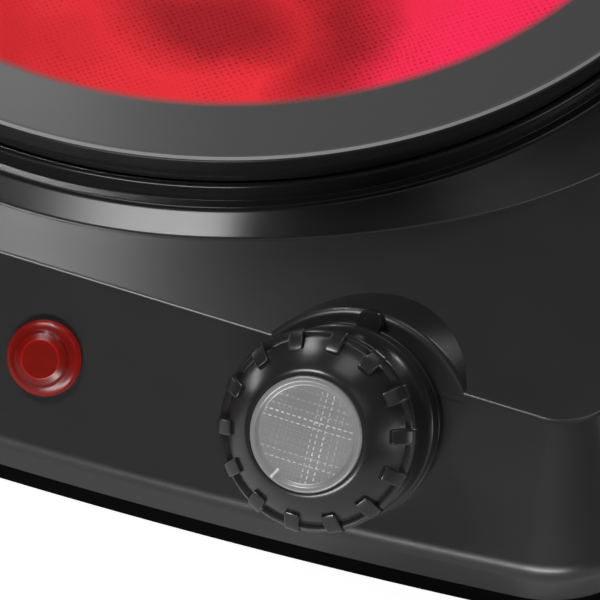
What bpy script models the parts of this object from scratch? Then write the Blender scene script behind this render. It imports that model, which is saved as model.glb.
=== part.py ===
"""Infrared hot plate burner: a square black housing under a round glass cooking plate.

Metres, +Z up. X runs to the right, the control panel faces -Y, and the feet stand on z = 0. The origin is the
middle of the footprint. Each named object is one physical piece; cutters are wire helpers that don't render.
"""

import math

import bmesh
import bpy
from mathutils import Matrix, Vector

# Driving dimensions
GLASS_RADIUS = 0.0900
GLASS_TOP = 0.0580
GLASS_THICKNESS = 0.0040
HEATED_RADIUS = 0.0774
GAP = 0.0003

# Housing
BODY_HALF_X, BODY_HALF_Y = 0.1210, 0.12015
WALL_BOW, PANEL_EDGE_BOW = 0.880, 1.840
BODY_CORNER = 0.0190
WALL = 0.0025
HOUSING_BOTTOM = 0.0111
DECK_Z = 0.0400
CREASE_HALF_X, CREASE_HALF_Y, CREASE_CORNER = 0.1065, 0.1011, 0.0090
PANEL_TILT = math.radians(39.0)
SIDE_DROP = 1.62
COLLAR_TOP = 0.0447
COLLAR_OUTER, COLLAR_INNER = 0.0889, 0.0873
TOE_FRONT, TOE_SIDE = 0.0910, 0.0996
TOE_SPREAD = (math.radians(20.0), math.radians(82.0))
POST_XY, POST_RADIUS = 0.0940, 0.0040

# Base, feet and their fixings
PAN_BOTTOM, PAN_FLOOR, PAN_RIM = 0.0067, 0.0012, 0.0016
FOOT_X, FOOT_Y, FOOT_RADIUS = 0.0820, 0.0800, 0.0100
VENT_X, VENT_LENGTH, VENT_PITCH, VENT_ROWS = 0.0340, 0.0360, 0.0150, 3
SCREW_RADIUS, SCREW_HOLE, SCREW_HEAD = 0.0015, 0.0019, 0.0028

# Control panel: places are (x, distance down the slope from the deck's front edge)
KNOB_PLACE = (0.0656, 0.0098)
LAMP_PLACE = (0.0133, 0.0146)
HOOD_OFFSET = (0.0008, 0.0032)
HOOD_RADIUS, HOOD_ROOT, HOOD_PROUD = 0.0219, 0.0235, 0.0002
SHAFT_RADIUS, SHAFT_CLEARANCE = 0.0030, 0.00005
KNOB_TOP = 0.0234
INSERT_RADIUS, INSERT_RIM = 0.0096, 0.0015
SKIRT_RADIUS = 0.0162
RIB_COUNT, RIB_WIDTH, FIRST_RIB = 14, 0.0026, math.radians(13.25)
REGULATOR_SCREW_X = 0.0100

# Heater and its support
DISH_RADIUS, DISH_BOTTOM, DISH_WALL = 0.0831, 0.0260, 0.0008
SUPPORT_ANGLES = [math.radians(angle) for angle in (90, 210, 330)]
SPACER_ANGLES = [math.radians(angle) for angle in (30, 150, 270)]
SHIELD_RADIUS, SHIELD_Z, SHIELD_THICKNESS = 0.0660, 0.0160, 0.0010
TERMINAL_ANGLE = math.radians(135)

# Mains inlet in the rear
INLET_X, INLET_Z = -0.0600, 0.0240
INLET_BOSS_RADIUS, INLET_BORE = 0.0080, 0.0040
INLET_REACH = 0.1322
EARTH_PLACE = (-0.0300, 0.0980)

FRONT_STEPS, CORNER_STEPS, SIDE_STEPS = 8, 6, 8
ROUND = 40


# Materials

FINISHES = {
    "housing_black": ((0.035, 0.035, 0.037), 0.32, 0.0),
    "base_black": ((0.006, 0.006, 0.006), 0.55, 0.0),
    "knob_black": ((0.022, 0.022, 0.023), 0.25, 0.0),
    "knob_silver": ((0.42, 0.42, 0.43), 0.30, 0.8),
    "plate_glass": ((0.10, 0.09, 0.09), 0.08, 0.0),
    "trim_black": ((0.012, 0.012, 0.012), 0.20, 0.0),
    "seal_grey": ((0.10, 0.10, 0.10), 0.70, 0.0),
    "steel": ((0.55, 0.55, 0.56), 0.35, 1.0),
    "aluminised_steel": ((0.66, 0.66, 0.67), 0.45, 1.0),
    "insulation": ((0.78, 0.76, 0.72), 0.95, 0.0),
    "element_alloy": ((0.30, 0.12, 0.06), 0.60, 1.0),
    "ceramic": ((0.82, 0.80, 0.74), 0.45, 0.0),
    "phenolic": ((0.050, 0.040, 0.035), 0.50, 0.0),
    "lamp_red": ((0.30, 0.01, 0.01), 0.15, 0.0),
    "lamp_glass": ((0.80, 0.60, 0.50), 0.10, 0.0),
    "rubber": ((0.02, 0.02, 0.02), 0.85, 0.0),
    "lead_sleeve": ((0.75, 0.74, 0.70), 0.75, 0.0),
}


def finish(name):
    """The Principled material of this name, made on first use."""
    if name in bpy.data.materials:
        return bpy.data.materials[name]
    colour, roughness, metallic = FINISHES[name]
    material = bpy.data.materials.new(name)
    material.use_nodes = True
    shader = material.node_tree.nodes["Principled BSDF"]
    shader.inputs["Base Color"].default_value = (*colour, 1.0)
    shader.inputs["Roughness"].default_value = roughness
    shader.inputs["Metallic"].default_value = metallic
    return material


# Mesh helpers


def make_object(name, bm, material=None, place=None, smooth=True):
    """A scene object from a bmesh, with its normals turned outwards."""
    bmesh.ops.recalc_face_normals(bm, faces=bm.faces)
    mesh = bpy.data.meshes.new(name)
    bm.to_mesh(mesh)
    bm.free()
    obj = bpy.data.objects.new(name, mesh)
    bpy.context.scene.collection.objects.link(obj)
    if material:
        mesh.materials.append(finish(material))
    if smooth:
        mesh.shade_smooth()
        mesh.set_sharp_from_angle(angle=math.radians(30))
    if place is not None:
        obj.matrix_world = place
    return obj


def helper(obj):
    """Marks a cutter or a shape to be united: it shows as wire and doesn't render."""
    obj.hide_render = True
    obj.display_type = "WIRE"
    return obj


def combine(obj, other, operation):
    """Adds a Boolean of this helper to the object."""
    modifier = obj.modifiers.new(f"{operation.lower()}_{other.name}", "BOOLEAN")
    modifier.operation = operation
    modifier.solver = "EXACT"
    modifier.object = helper(other)


def skin(bm, rings, closed=False):
    """Faces between rings of vertices that each hold the same number of points."""
    pairs = list(zip(rings, rings[1:]))
    if closed:
        pairs.append((rings[-1], rings[0]))
    for low, high in pairs:
        for i in range(len(low)):
            j = (i + 1) % len(low)
            bm.faces.new((low[i], low[j], high[j], high[i]))


def loft(name, outlines, material, closed=True):
    """A body through outlines of equal length; an open one is capped at both ends."""
    bm = bmesh.new()
    rings = [[bm.verts.new(point) for point in outline] for outline in outlines]
    skin(bm, rings, closed)
    if not closed:
        bm.faces.new(rings[0])
        bm.faces.new(rings[-1])
    return make_object(name, bm, material)


def turned(name, profile, material=None, place=None, segments=ROUND):
    """A turned body about the local Z axis, from (radius, height) points, closed or ending on the axis."""
    bm = bmesh.new()
    rings = []
    for radius, height in profile:
        if radius == 0.0:
            rings.append([bm.verts.new((0.0, 0.0, height))])
            continue
        angles = [2.0 * math.pi * i / segments for i in range(segments)]
        rings.append([bm.verts.new((radius * math.cos(a), radius * math.sin(a), height)) for a in angles])
    pairs = list(zip(rings, rings[1:]))
    if profile[0][0] and profile[-1][0]:
        pairs.append((rings[-1], rings[0]))
    for first, second in pairs:
        if len(first) == len(second) == 1:
            continue
        for i in range(segments):
            j = (i + 1) % segments
            if len(first) == 1:
                bm.faces.new((first[0], second[j], second[i]))
            elif len(second) == 1:
                bm.faces.new((first[i], first[j], second[0]))
            else:
                bm.faces.new((first[i], first[j], second[j], second[i]))
    return make_object(name, bm, material, place)


def rod(name, radius, low, high, material=None, place=None, segments=32):
    """A plain round bar from one height to another on the local Z axis."""
    return turned(name, [(0.0, low), (radius, low), (radius, high), (0.0, high)], material, place, segments)


def tube_rings(inner, outer, low, high):
    """The profile of a plain ring."""
    return [(inner, low), (outer, low), (outer, high), (inner, high)]


def block(name, low, high, material=None, place=None, bevel=0.0):
    """A box between two corners, with its edges rounded by the bevel."""
    bm = bmesh.new()
    bmesh.ops.create_cube(bm, size=1.0)
    low, high = Vector(low), Vector(high)
    for vertex in bm.verts:
        vertex.co = low + Vector((vertex.co[i] + 0.5) * (high - low)[i] for i in range(3))
    if bevel:
        bmesh.ops.bevel(bm, geom=bm.edges[:], offset=bevel, segments=2, affect="EDGES", profile=0.5)
    return make_object(name, bm, material, place)


def prism(name, outline, width, material=None, place=None):
    """A (x, z) outline extruded along the local Y axis, centred on it."""
    bm = bmesh.new()
    ends = [[bm.verts.new((x, side * width / 2, z)) for x, z in outline] for side in (-1, 1)]
    skin(bm, ends)
    for end in ends:
        bm.faces.new(end)
    return make_object(name, bm, material, place, smooth=False)


def join_helpers(objects, name):
    """One helper from several separate closed shapes."""
    bm = bmesh.new()
    for obj in objects:
        mesh = obj.data.copy()
        mesh.transform(obj.matrix_world)
        bm.from_mesh(mesh)
        bpy.data.objects.remove(obj)
    return helper(make_object(name, bm))


def at(x, y, z=0.0, turn=0.0):
    """A place in the world: a move and a turn about +Z."""
    return Matrix.Translation((x, y, z)) @ Matrix.Rotation(turn, 4, "Z")


def polar(radius, angle, z=0.0):
    """A place on a circle round the heater's axis, with local X pointing outwards."""
    return at(radius * math.cos(angle), radius * math.sin(angle), z, angle)


# Places on the sloping control panel

PANEL_NORMAL = Vector((0.0, -math.cos(PANEL_TILT), math.sin(PANEL_TILT)))
PANEL_UP = Vector((0.0, math.sin(PANEL_TILT), math.cos(PANEL_TILT)))
PANEL_DROP = math.cos(PANEL_TILT) / math.sin(PANEL_TILT)


def panel_frame(x, down):
    """The panel's own frame: X to the right, Y up the slope, Z straight out of the panel."""
    origin = Vector((x, -CREASE_HALF_Y, DECK_Z)) - PANEL_UP * down
    columns = (Vector((1.0, 0.0, 0.0)), PANEL_UP, PANEL_NORMAL)
    frame = Matrix(columns).transposed().to_4x4()
    return Matrix.Translation(origin) @ frame


# Housing


def corner_centre(half_x, half_y, curve, corner):
    """The corner arc's centre, and where the two bowed walls meet the arc."""
    reach_x, reach_y = half_x - corner, half_y - corner
    for _ in range(12):
        centre_x = half_x - reach_y**2 * curve / 2 - corner * math.cos(reach_y * curve)
        centre_y = half_y - reach_x**2 * curve / 2 - corner * math.cos(reach_x * curve)
        reach_x = centre_x + corner * math.sin(reach_x * curve)
        reach_y = centre_y + corner * math.sin(reach_y * curve)
    return centre_x, centre_y, reach_x, reach_y


def quarter(half_x, half_y, bow, corner, height):
    """The front right quarter of a rounded square with bowed sides.

    height is a number, or a function of (x, y) for each wall; the corner then blends between the two walls.
    """
    curve = 1.0 / bow if bow else 0.0
    centre_x, centre_y, reach_x, reach_y = corner_centre(half_x, half_y, curve, corner)
    front = [reach_x * i / FRONT_STEPS for i in range(FRONT_STEPS)]
    side = [reach_y * (SIDE_STEPS - 1 - i) / SIDE_STEPS for i in range(SIDE_STEPS)]
    points = [(x, -half_y + x * x * curve / 2) for x in front]
    start, stop = reach_x * curve, math.pi / 2 - reach_y * curve
    for i in range(CORNER_STEPS + 1):
        angle = start + (stop - start) * i / CORNER_STEPS
        points.append((centre_x + corner * math.sin(angle), -centre_y - corner * math.cos(angle)))
    points += [(half_x - y * y * curve / 2, -y) for y in side]
    if not callable(height):
        return [(x, y, height) for x, y in points]
    found = []
    first, last = len(front), len(front) + CORNER_STEPS
    ends = height(*points[first])[0], height(*points[last])[1]
    for i, (x, y) in enumerate(points):
        if first < i < last:
            blend = (i - first) / CORNER_STEPS
            found.append((x, y, ends[0] + (ends[1] - ends[0]) * blend))
        else:
            found.append((x, y, height(x, y)[0 if i <= first else 1]))
    return found


def mirrored(front_right):
    """The whole outline, anticlockwise from the middle of the front."""
    right = front_right + [(x, -y, z) for x, y, z in reversed(front_right[:-1])]
    return right + [(-x, y, z) for x, y, z in reversed(right[1:-1])]


def slope_heights(drop=0.0):
    """Heights of the front and side slopes above a point, lowered by drop."""

    def heights(x, y):
        front = DECK_Z - drop - (abs(y) - CREASE_HALF_Y) * PANEL_DROP
        side = DECK_Z - drop - (abs(x) - CREASE_HALF_X) * SIDE_DROP
        return front, side

    return heights


def outline(half_x, half_y, bow, corner, height):
    return mirrored(quarter(half_x, half_y, bow, corner, height))


def circle_under(points, radius, z):
    """A circle with a point at the same bearing as each point of an outline."""
    found = []
    for x, y, _ in points:
        length = math.hypot(x, y)
        found.append((x / length * radius, y / length * radius, z))
    return found


def collar_toe(points, z):
    """The foot of the collar: round in front, and wider towards the two sides."""
    found = []
    for x, y, _ in points:
        bearing = math.atan2(abs(x), abs(y))
        share = min(max((bearing - TOE_SPREAD[0]) / (TOE_SPREAD[1] - TOE_SPREAD[0]), 0.0), 1.0)
        radius = TOE_FRONT + (TOE_SIDE - TOE_FRONT) * (0.5 - 0.5 * math.cos(math.pi * share))
        found += circle_under([(x, y, z)], radius, z)
    return found


def make_housing():
    """The top shell: bowed lower wall, four slopes, flat deck, collar, knob hood, posts and openings."""
    crease = outline(CREASE_HALF_X, CREASE_HALF_Y, 0.0, CREASE_CORNER, DECK_Z)
    under = DECK_Z - WALL
    inside_x = CREASE_HALF_X + WALL / SIDE_DROP - WALL * math.hypot(1.0, 1.0 / SIDE_DROP)
    inside_y = CREASE_HALF_Y + WALL / PANEL_DROP - WALL / math.cos(PANEL_TILT)
    inner_x, inner_y = BODY_HALF_X - WALL, BODY_HALF_Y - WALL
    inner_drop = WALL * 1.35
    shell = loft(
        "top_housing",
        [
            outline(BODY_HALF_X, BODY_HALF_Y, WALL_BOW, BODY_CORNER, HOUSING_BOTTOM),
            outline(BODY_HALF_X, BODY_HALF_Y, PANEL_EDGE_BOW, BODY_CORNER, slope_heights()),
            crease,
            collar_toe(crease, DECK_Z),
            circle_under(crease, COLLAR_OUTER, COLLAR_TOP),
            circle_under(crease, COLLAR_INNER, COLLAR_TOP),
            circle_under(crease, COLLAR_INNER, under),
            outline(inside_x, inside_y, 0.0, CREASE_CORNER - WALL, under),
            outline(inner_x, inner_y, PANEL_EDGE_BOW, BODY_CORNER - WALL, slope_heights(inner_drop)),
            outline(inner_x, inner_y, WALL_BOW, BODY_CORNER - WALL, HOUSING_BOTTOM),
        ],
        "housing_black",
    )
    add_hood(shell)
    post_top = DECK_Z - WALL / 2
    posts = [rod("post", POST_RADIUS, 0.0088, post_top, place=at(x, y), segments=20) for x, y in corners()]
    combine(shell, join_helpers(posts, "corner_posts"), "UNION")
    boss_place = Matrix.Translation((INLET_X, 0.0, INLET_Z)) @ Matrix.Rotation(-math.pi / 2, 4, "X")
    combine(shell, rod("inlet_boss", INLET_BOSS_RADIUS, 0.0980, 0.1198, place=boss_place), "UNION")
    cuts = [rod("cut", 0.0018, 0.0060, 0.0220, place=at(x, y), segments=16) for x, y in corners()]
    cuts.append(rod("cut", 0.0059, 0.0900, 0.1300, place=boss_place))
    knob_place, lamp_place = panel_frame(*KNOB_PLACE), panel_frame(*LAMP_PLACE)
    cuts.append(rod("cut", 0.0046, -0.0060, 0.0030, place=knob_place))
    for side in (-1, 1):
        screw = knob_place @ Matrix.Translation((side * REGULATOR_SCREW_X, 0.0, 0.0))
        cuts.append(rod("cut", SCREW_HOLE, -0.0060, 0.0030, place=screw, segments=16))
    cuts.append(rod("cut", 0.0052, -0.0060, 0.0030, place=lamp_place))
    combine(shell, join_helpers(cuts, "housing_openings"), "DIFFERENCE")
    return shell


def corners():
    return [(sx * POST_XY, sy * POST_XY) for sx in (-1, 1) for sy in (-1, 1)]


def above(obj, height):
    """Keeps the part of a helper that lies over a height, and closes the cut."""
    bm = bmesh.new()
    bm.from_mesh(obj.data)
    bmesh.ops.transform(bm, matrix=obj.matrix_world, verts=bm.verts)
    everything = bm.verts[:] + bm.edges[:] + bm.faces[:]
    cut = bmesh.ops.bisect_plane(
        bm, geom=everything, plane_co=(0.0, 0.0, height), plane_no=(0.0, 0.0, 1.0), clear_inner=True
    )
    edges = [item for item in cut["geom_cut"] if isinstance(item, bmesh.types.BMEdge)]
    bmesh.ops.holes_fill(bm, edges=edges)
    name = obj.name
    bpy.data.objects.remove(obj)
    return helper(make_object(name, bm))


def add_hood(shell):
    """The round hood over the knob: its face lies just proud of the panel, and it stands out of the deck."""
    place = panel_frame(KNOB_PLACE[0] + HOOD_OFFSET[0], KNOB_PLACE[1] + HOOD_OFFSET[1])
    side = [(0.0, -0.0160), (HOOD_ROOT, -0.0160), (HOOD_RADIUS, HOOD_PROUD), (0.0, HOOD_PROUD)]
    hood = turned("hood", side, place=place, segments=64)
    combine(shell, above(hood, DECK_Z - 0.0010), "UNION")
    hollow = rod("hood_hollow", HOOD_RADIUS - WALL, -0.0125, -WALL, place=place, segments=48)
    combine(shell, above(hollow, 0.0300), "DIFFERENCE")


# Base and feet


def make_base():
    """The bottom pan: a shallow tray with vents, and holes for the feet and screws."""
    edge = GAP + 0.0001
    half_x, half_y, corner = BODY_HALF_X - edge, BODY_HALF_Y - edge, BODY_CORNER - edge
    rim_top = HOUSING_BOTTOM - GAP
    inset = [half_x - PAN_RIM, half_y - PAN_RIM, WALL_BOW, corner - PAN_RIM]
    pan = loft(
        "base_pan",
        [
            outline(half_x, half_y, WALL_BOW, corner, PAN_BOTTOM),
            outline(half_x, half_y, WALL_BOW, corner, rim_top),
            outline(*inset, rim_top),
            outline(*inset, PAN_BOTTOM + PAN_FLOOR),
        ],
        "base_black",
        closed=False,
    )
    cuts = []
    for side in (-1, 1):
        for row in range(-VENT_ROWS, VENT_ROWS + 1):
            y = row * VENT_PITCH
            start = side * VENT_X - VENT_LENGTH / 2
            cuts.append(block("cut", (start, y - 0.002, 0.005), (start + VENT_LENGTH, y + 0.002, 0.010)))
    places = [(x, y, SCREW_HOLE) for x, y in corners()]
    places += [(x, y, 0.0033) for x, y in feet_places()]
    places += [(0.085 * math.cos(a), 0.085 * math.sin(a), SCREW_HOLE) for a in SUPPORT_ANGLES]
    places.append((*EARTH_PLACE, SCREW_HOLE))
    cuts += [rod("cut", radius, 0.005, 0.010, place=at(x, y), segments=16) for x, y, radius in places]
    combine(pan, join_helpers(cuts, "pan_openings"), "DIFFERENCE")
    return pan


def feet_places():
    return [(sx * FOOT_X, sy * FOOT_Y) for sx in (-1, 1) for sy in (-1, 1)]


def place_name(x, y):
    return ("left" if x < 0 else "right") + "_" + ("front" if y < 0 else "rear")


def screw(name, head_z, tip_z, place):
    """A pan head screw on the local Z axis; the head sits at head_z, away from the tip."""
    away = 1.0 if head_z > tip_z else -1.0
    crown = head_z + away * 0.0014
    profile = [
        (0.0, tip_z), (SCREW_RADIUS, tip_z), (SCREW_RADIUS, head_z), (SCREW_HEAD, head_z),
        (SCREW_HEAD, head_z + away * 0.0008), (SCREW_HEAD * 0.7, crown), (0.0, crown),
    ]
    return turned(name, profile, "steel", place, segments=12)


def make_feet_and_screws():
    top = PAN_BOTTOM - GAP
    floor_top = PAN_BOTTOM + PAN_FLOOR
    profile = [
        (0.0, 0.0), (FOOT_RADIUS - 0.0010, 0.0), (FOOT_RADIUS, 0.0010), (FOOT_RADIUS, top), (0.0030, top),
        (0.0030, floor_top + GAP), (0.0044, floor_top + GAP), (0.0024, 0.0115), (0.0, 0.0115),
    ]
    for x, y in feet_places():
        turned(f"foot_{place_name(x, y)}", profile, "rubber", at(x, y), segments=20)
    for x, y in corners():
        screw(f"base_screw_{place_name(x, y)}", top, 0.0180, at(x, y))


# Cooking plate


def make_plate():
    """The glass, its seal, the ring that carries it and the trim ring round it."""
    top, under = GLASS_TOP, GLASS_TOP - GLASS_THICKNESS
    chamfer = 0.0008
    turned(
        "glass_plate",
        [
            (0.0, under), (GLASS_RADIUS - chamfer, under), (GLASS_RADIUS, under + chamfer),
            (GLASS_RADIUS, top - chamfer), (GLASS_RADIUS - chamfer, top), (0.0, top),
        ],
        "plate_glass",
        segments=64,
    )
    seal_top = under - GAP
    turned("glass_seal", tube_rings(0.0839, 0.0864, seal_top - 0.0008, seal_top), "seal_grey")
    carrier_top, flange = seal_top - 0.0011, DECK_Z - WALL - 0.0004
    turned(
        "plate_carrier",
        [
            (0.0836, carrier_top), (0.0836, carrier_top - 0.0010), (0.0856, carrier_top - 0.0010),
            (0.0856, flange - 0.0010), (0.0935, flange - 0.0010), (0.0935, flange),
            (0.0868, flange), (0.0868, carrier_top),
        ],
        "trim_black",
    )
    seat = COLLAR_TOP + GAP
    turned(
        "trim_ring",
        [
            (0.0871, seat), (0.0892, seat), (0.0892, seat + 0.0007), (0.0878, seat + 0.0007),
            (0.0878, seat + 0.0044), (0.0871, seat + 0.0044),
        ],
        "trim_black",
    )


# Heater


def make_heater():
    """The dish with its insulation and element, held up by three brackets over a heat shield."""
    rim = 0.0529
    turned(
        "heater_dish",
        [
            (0.0, DISH_BOTTOM), (DISH_RADIUS, DISH_BOTTOM), (DISH_RADIUS, rim), (DISH_RADIUS - DISH_WALL, rim),
            (DISH_RADIUS - DISH_WALL, DISH_BOTTOM + DISH_WALL), (0.0, DISH_BOTTOM + DISH_WALL),
        ],
        "aluminised_steel",
    )
    bed, bed_top = DISH_BOTTOM + DISH_WALL + GAP, 0.0328
    lining = DISH_RADIUS - DISH_WALL - GAP
    rod("insulation_base", lining, bed, bed_top, "insulation", segments=ROUND)
    turned("insulation_ring", tube_rings(HEATED_RADIUS, lining, bed_top + GAP, 0.0536), "insulation")
    make_element(bed_top + GAP)
    under_dish = DISH_BOTTOM - GAP
    block(
        "heater_terminal_block", (0.068, -0.011, under_dish - 0.0055), (0.078, 0.011, under_dish), "ceramic",
        at(0.0, 0.0, 0.0, TERMINAL_ANGLE), bevel=0.0006,
    )
    for name, y in (("heater_tab_live", -0.005), ("heater_tab_neutral", 0.005)):
        top = under_dish - 0.0055 - GAP
        block(name, (0.0726, y - 0.003, top - 0.0045), (0.0734, y + 0.003, top), "steel",
              at(0.0, 0.0, 0.0, TERMINAL_ANGLE))
    turned(
        "thermal_cutout",
        [
            (0.0, 0.0190), (0.0070, 0.0190), (0.0070, 0.0225), (0.0082, 0.0225), (0.0082, under_dish),
            (0.0, under_dish),
        ],
        "phenolic", at(-0.020, 0.022), segments=20,
    )
    make_supports(under_dish)


def make_element(low):
    """The heating element: one flat ribbon wound in a spiral, standing on its edge."""
    turns, steps, thickness, height = 6, 20, 0.0009, 0.0038
    inner, outer = 0.018, 0.072
    count = turns * steps
    bm = bmesh.new()
    rings = []
    for i in range(count + 1):
        angle = 2.0 * math.pi * i / steps
        radius = inner + (outer - inner) * i / count
        direction = Vector((math.cos(angle), math.sin(angle), 0.0))
        section = [(-1, 0), (1, 0), (1, 1), (-1, 1)]
        rings.append([
            bm.verts.new(direction * (radius + across * thickness / 2) + Vector((0, 0, low + up * height)))
            for across, up in section
        ])
    skin(bm, rings)
    bm.faces.new(rings[0])
    bm.faces.new(rings[-1])
    return make_object("heating_element", bm, "element_alloy")


def make_supports(under_dish):
    """Three brackets from the pan to the dish with their screws, and the shield on three spacers."""
    foot = PAN_BOTTOM + PAN_FLOOR + GAP
    leg, sheet = 0.0795, 0.0010
    shape = [
        (0.0900, foot), (0.0900, foot + sheet), (leg, foot + sheet), (leg, under_dish), (0.0690, under_dish),
        (0.0690, under_dish - sheet), (leg - sheet, under_dish - sheet), (leg - sheet, foot),
    ]
    for number, angle in enumerate(SUPPORT_ANGLES, 1):
        bracket = prism(f"heater_bracket_{number}", shape, 0.0120, "steel", at(0, 0, 0, angle))
        hole = polar(0.085, angle)
        bore = rod(f"bracket_hole_{number}", SCREW_HOLE, 0.006, 0.012, place=hole, segments=16)
        combine(bracket, bore, "DIFFERENCE")
        screw(f"bracket_screw_{number}", PAN_BOTTOM - GAP, 0.0140, hole)
    shield_top = SHIELD_Z + SHIELD_THICKNESS
    turned(
        "heat_shield",
        [
            (0.0, SHIELD_Z), (SHIELD_RADIUS - 0.003, SHIELD_Z), (SHIELD_RADIUS, SHIELD_Z + 0.003),
            (SHIELD_RADIUS - 0.001, SHIELD_Z + 0.0035), (SHIELD_RADIUS - 0.0035, shield_top), (0.0, shield_top),
        ],
        "aluminised_steel",
        segments=32,
    )
    for number, angle in enumerate(SPACER_ANGLES, 1):
        rings = tube_rings(0.0018, 0.0035, shield_top + GAP, under_dish)
        turned(f"shield_spacer_{number}", rings, "steel", polar(0.050, angle), segments=16)


# Control panel


def make_regulator():
    """The heat regulator behind the panel, its screws, and the shaft that turns with the knob."""
    place = panel_frame(*KNOB_PLACE)
    back, front = -0.0190, -WALL - GAP
    near, far = (-0.0140, -0.0130, back), (0.0140, 0.0065, front)
    body = block("regulator_body", near, far, "phenolic", place, bevel=0.0008)
    bush = rod("regulator_bush", 0.0043, front - 0.001, 0.0018, place=place)
    combine(body, bush, "UNION")
    cuts = [rod("cut", SHAFT_RADIUS + SHAFT_CLEARANCE, -0.0150, 0.0050, place=place, segments=48)]
    for name, side in (("regulator_screw_left", -1), ("regulator_screw_right", 1)):
        spot = place @ Matrix.Translation((side * REGULATOR_SCREW_X, 0.0, 0.0))
        cuts.append(rod("cut", 0.0018, -0.0110, 0.0, place=spot, segments=16))
        screw(name, GAP, -0.0090, spot)
    combine(body, join_helpers(cuts, "regulator_bores"), "DIFFERENCE")


def make_knob():
    """The knob, its silver cap, its grip spring and the shaft, all turning about the panel's normal."""
    axis = bpy.data.objects.new("knob_axis", None)
    bpy.context.scene.collection.objects.link(axis)
    axis.matrix_world = panel_frame(*KNOB_PLACE)
    cap_floor = KNOB_TOP - 0.0024
    knob = turned(
        "knob_body",
        [
            (0.0, 0.0175), (0.0033, 0.0175), (0.0033, 0.0034), (0.0062, 0.0034), (0.0062, 0.0160),
            (0.0124, 0.0160), (0.0134, 0.0033), (SKIRT_RADIUS, 0.0033), (SKIRT_RADIUS, 0.0056), (0.0158, 0.0061),
            (0.0151, 0.0080), (0.0150, 0.0142), (0.0165, 0.0155), (0.0165, 0.0171), (0.0152, 0.0174),
            (0.0137, 0.0198), (0.0120, 0.0218), (0.0104, 0.0229), (INSERT_RADIUS + GAP, 0.0229),
            (INSERT_RADIUS + GAP, cap_floor), (0.0, cap_floor),
        ],
        "knob_black",
    )
    side = [
        (0.0134, 0.0165), (0.0137, 0.0204), (0.0155, 0.0192), (0.0168, 0.0176), (0.0169, 0.0157), (0.0158, 0.0157),
    ]
    ribs = []
    for i in range(RIB_COUNT):
        turn = Matrix.Rotation(FIRST_RIB + 2.0 * math.pi * i / RIB_COUNT, 4, "Z")
        ribs.append(prism("rib", side, RIB_WIDTH, place=turn))
    grip = join_helpers(ribs, "knob_ribs")
    grip.parent = axis
    knob.parent = axis
    combine(knob, grip, "UNION")
    cap_low = cap_floor + GAP
    cap = turned(
        "knob_cap",
        [
            (0.0, cap_low), (INSERT_RADIUS, cap_low), (INSERT_RADIUS, KNOB_TOP - 0.0003),
            (INSERT_RADIUS - 0.0003, KNOB_TOP), (INSERT_RADIUS - INSERT_RIM + 0.0005, KNOB_TOP),
            (INSERT_RADIUS - INSERT_RIM, KNOB_TOP - 0.0005),
            (0.0, KNOB_TOP - 0.0005),
        ],
        "knob_silver",
    )
    cap.parent = axis
    flat = 0.0018
    shaft = rod("regulator_shaft", SHAFT_RADIUS, -0.0140, 0.0170, "steel", segments=48)
    shaft.parent = axis
    notch = block("shaft_flat", (-0.004, flat, 0.0045), (0.004, 0.005, 0.018))
    notch.parent = axis
    combine(shaft, notch, "DIFFERENCE")
    spring = block("knob_spring", (-0.0017, flat + 0.0003, 0.0060), (0.0017, flat + 0.0007, 0.0160), "steel")
    spring.parent = axis


def make_dial_seat():
    """The fixed ring behind the knob, with the round index pip at its top."""
    place = panel_frame(*KNOB_PLACE)
    seat = turned("dial_seat", tube_rings(0.0131, SKIRT_RADIUS, GAP, 0.0022), "knob_black", place)
    pip_place = place @ Matrix.Translation((0.0, 0.0168, 0.0))
    pip = [(0.0, GAP), (0.0022, GAP), (0.0022, 0.0026), (0.0019, 0.0029), (0.0, 0.0029)]
    combine(seat, turned("index_pip", pip, place=pip_place, segments=32), "UNION")


def make_pilot_lamp():
    """The red lens, its push-on clip, and the neon lamp in its holder."""
    place = panel_frame(*LAMP_PLACE)
    turned(
        "pilot_lens",
        [
            (0.0, 0.0016), (0.0030, 0.0016), (0.0038, 0.0006), (0.0038, -0.0062), (0.0049, -0.0062),
            (0.0049, GAP), (0.0063, GAP), (0.0063, 0.0011), (0.0060, 0.0016), (0.0053, 0.0019),
            (0.0047, 0.0020), (0.0043, 0.0026), (0.0034, 0.0029), (0.0032, 0.0030), (0.0, 0.0030),
        ],
        "lamp_red",
        place,
        segments=24,
    )
    behind = -WALL - GAP
    turned("pilot_clip", tube_rings(0.0053, 0.0082, behind - 0.0009, behind), "steel", place, segments=20)
    turned(
        "pilot_holder",
        [
            (0.0, -0.0160), (0.0060, -0.0160), (0.0060, -0.0065), (0.0024, -0.0065),
            (0.0024, -0.0120), (0.0, -0.0120),
        ],
        "phenolic", place, segments=20,
    )
    turned(
        "pilot_lamp",
        [(0.0, -0.0117), (0.0021, -0.0117), (0.0021, -0.0010), (0.0012, 0.0003), (0.0, 0.0006)],
        "lamp_glass", place, segments=14,
    )


# Mains inlet and wiring


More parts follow.
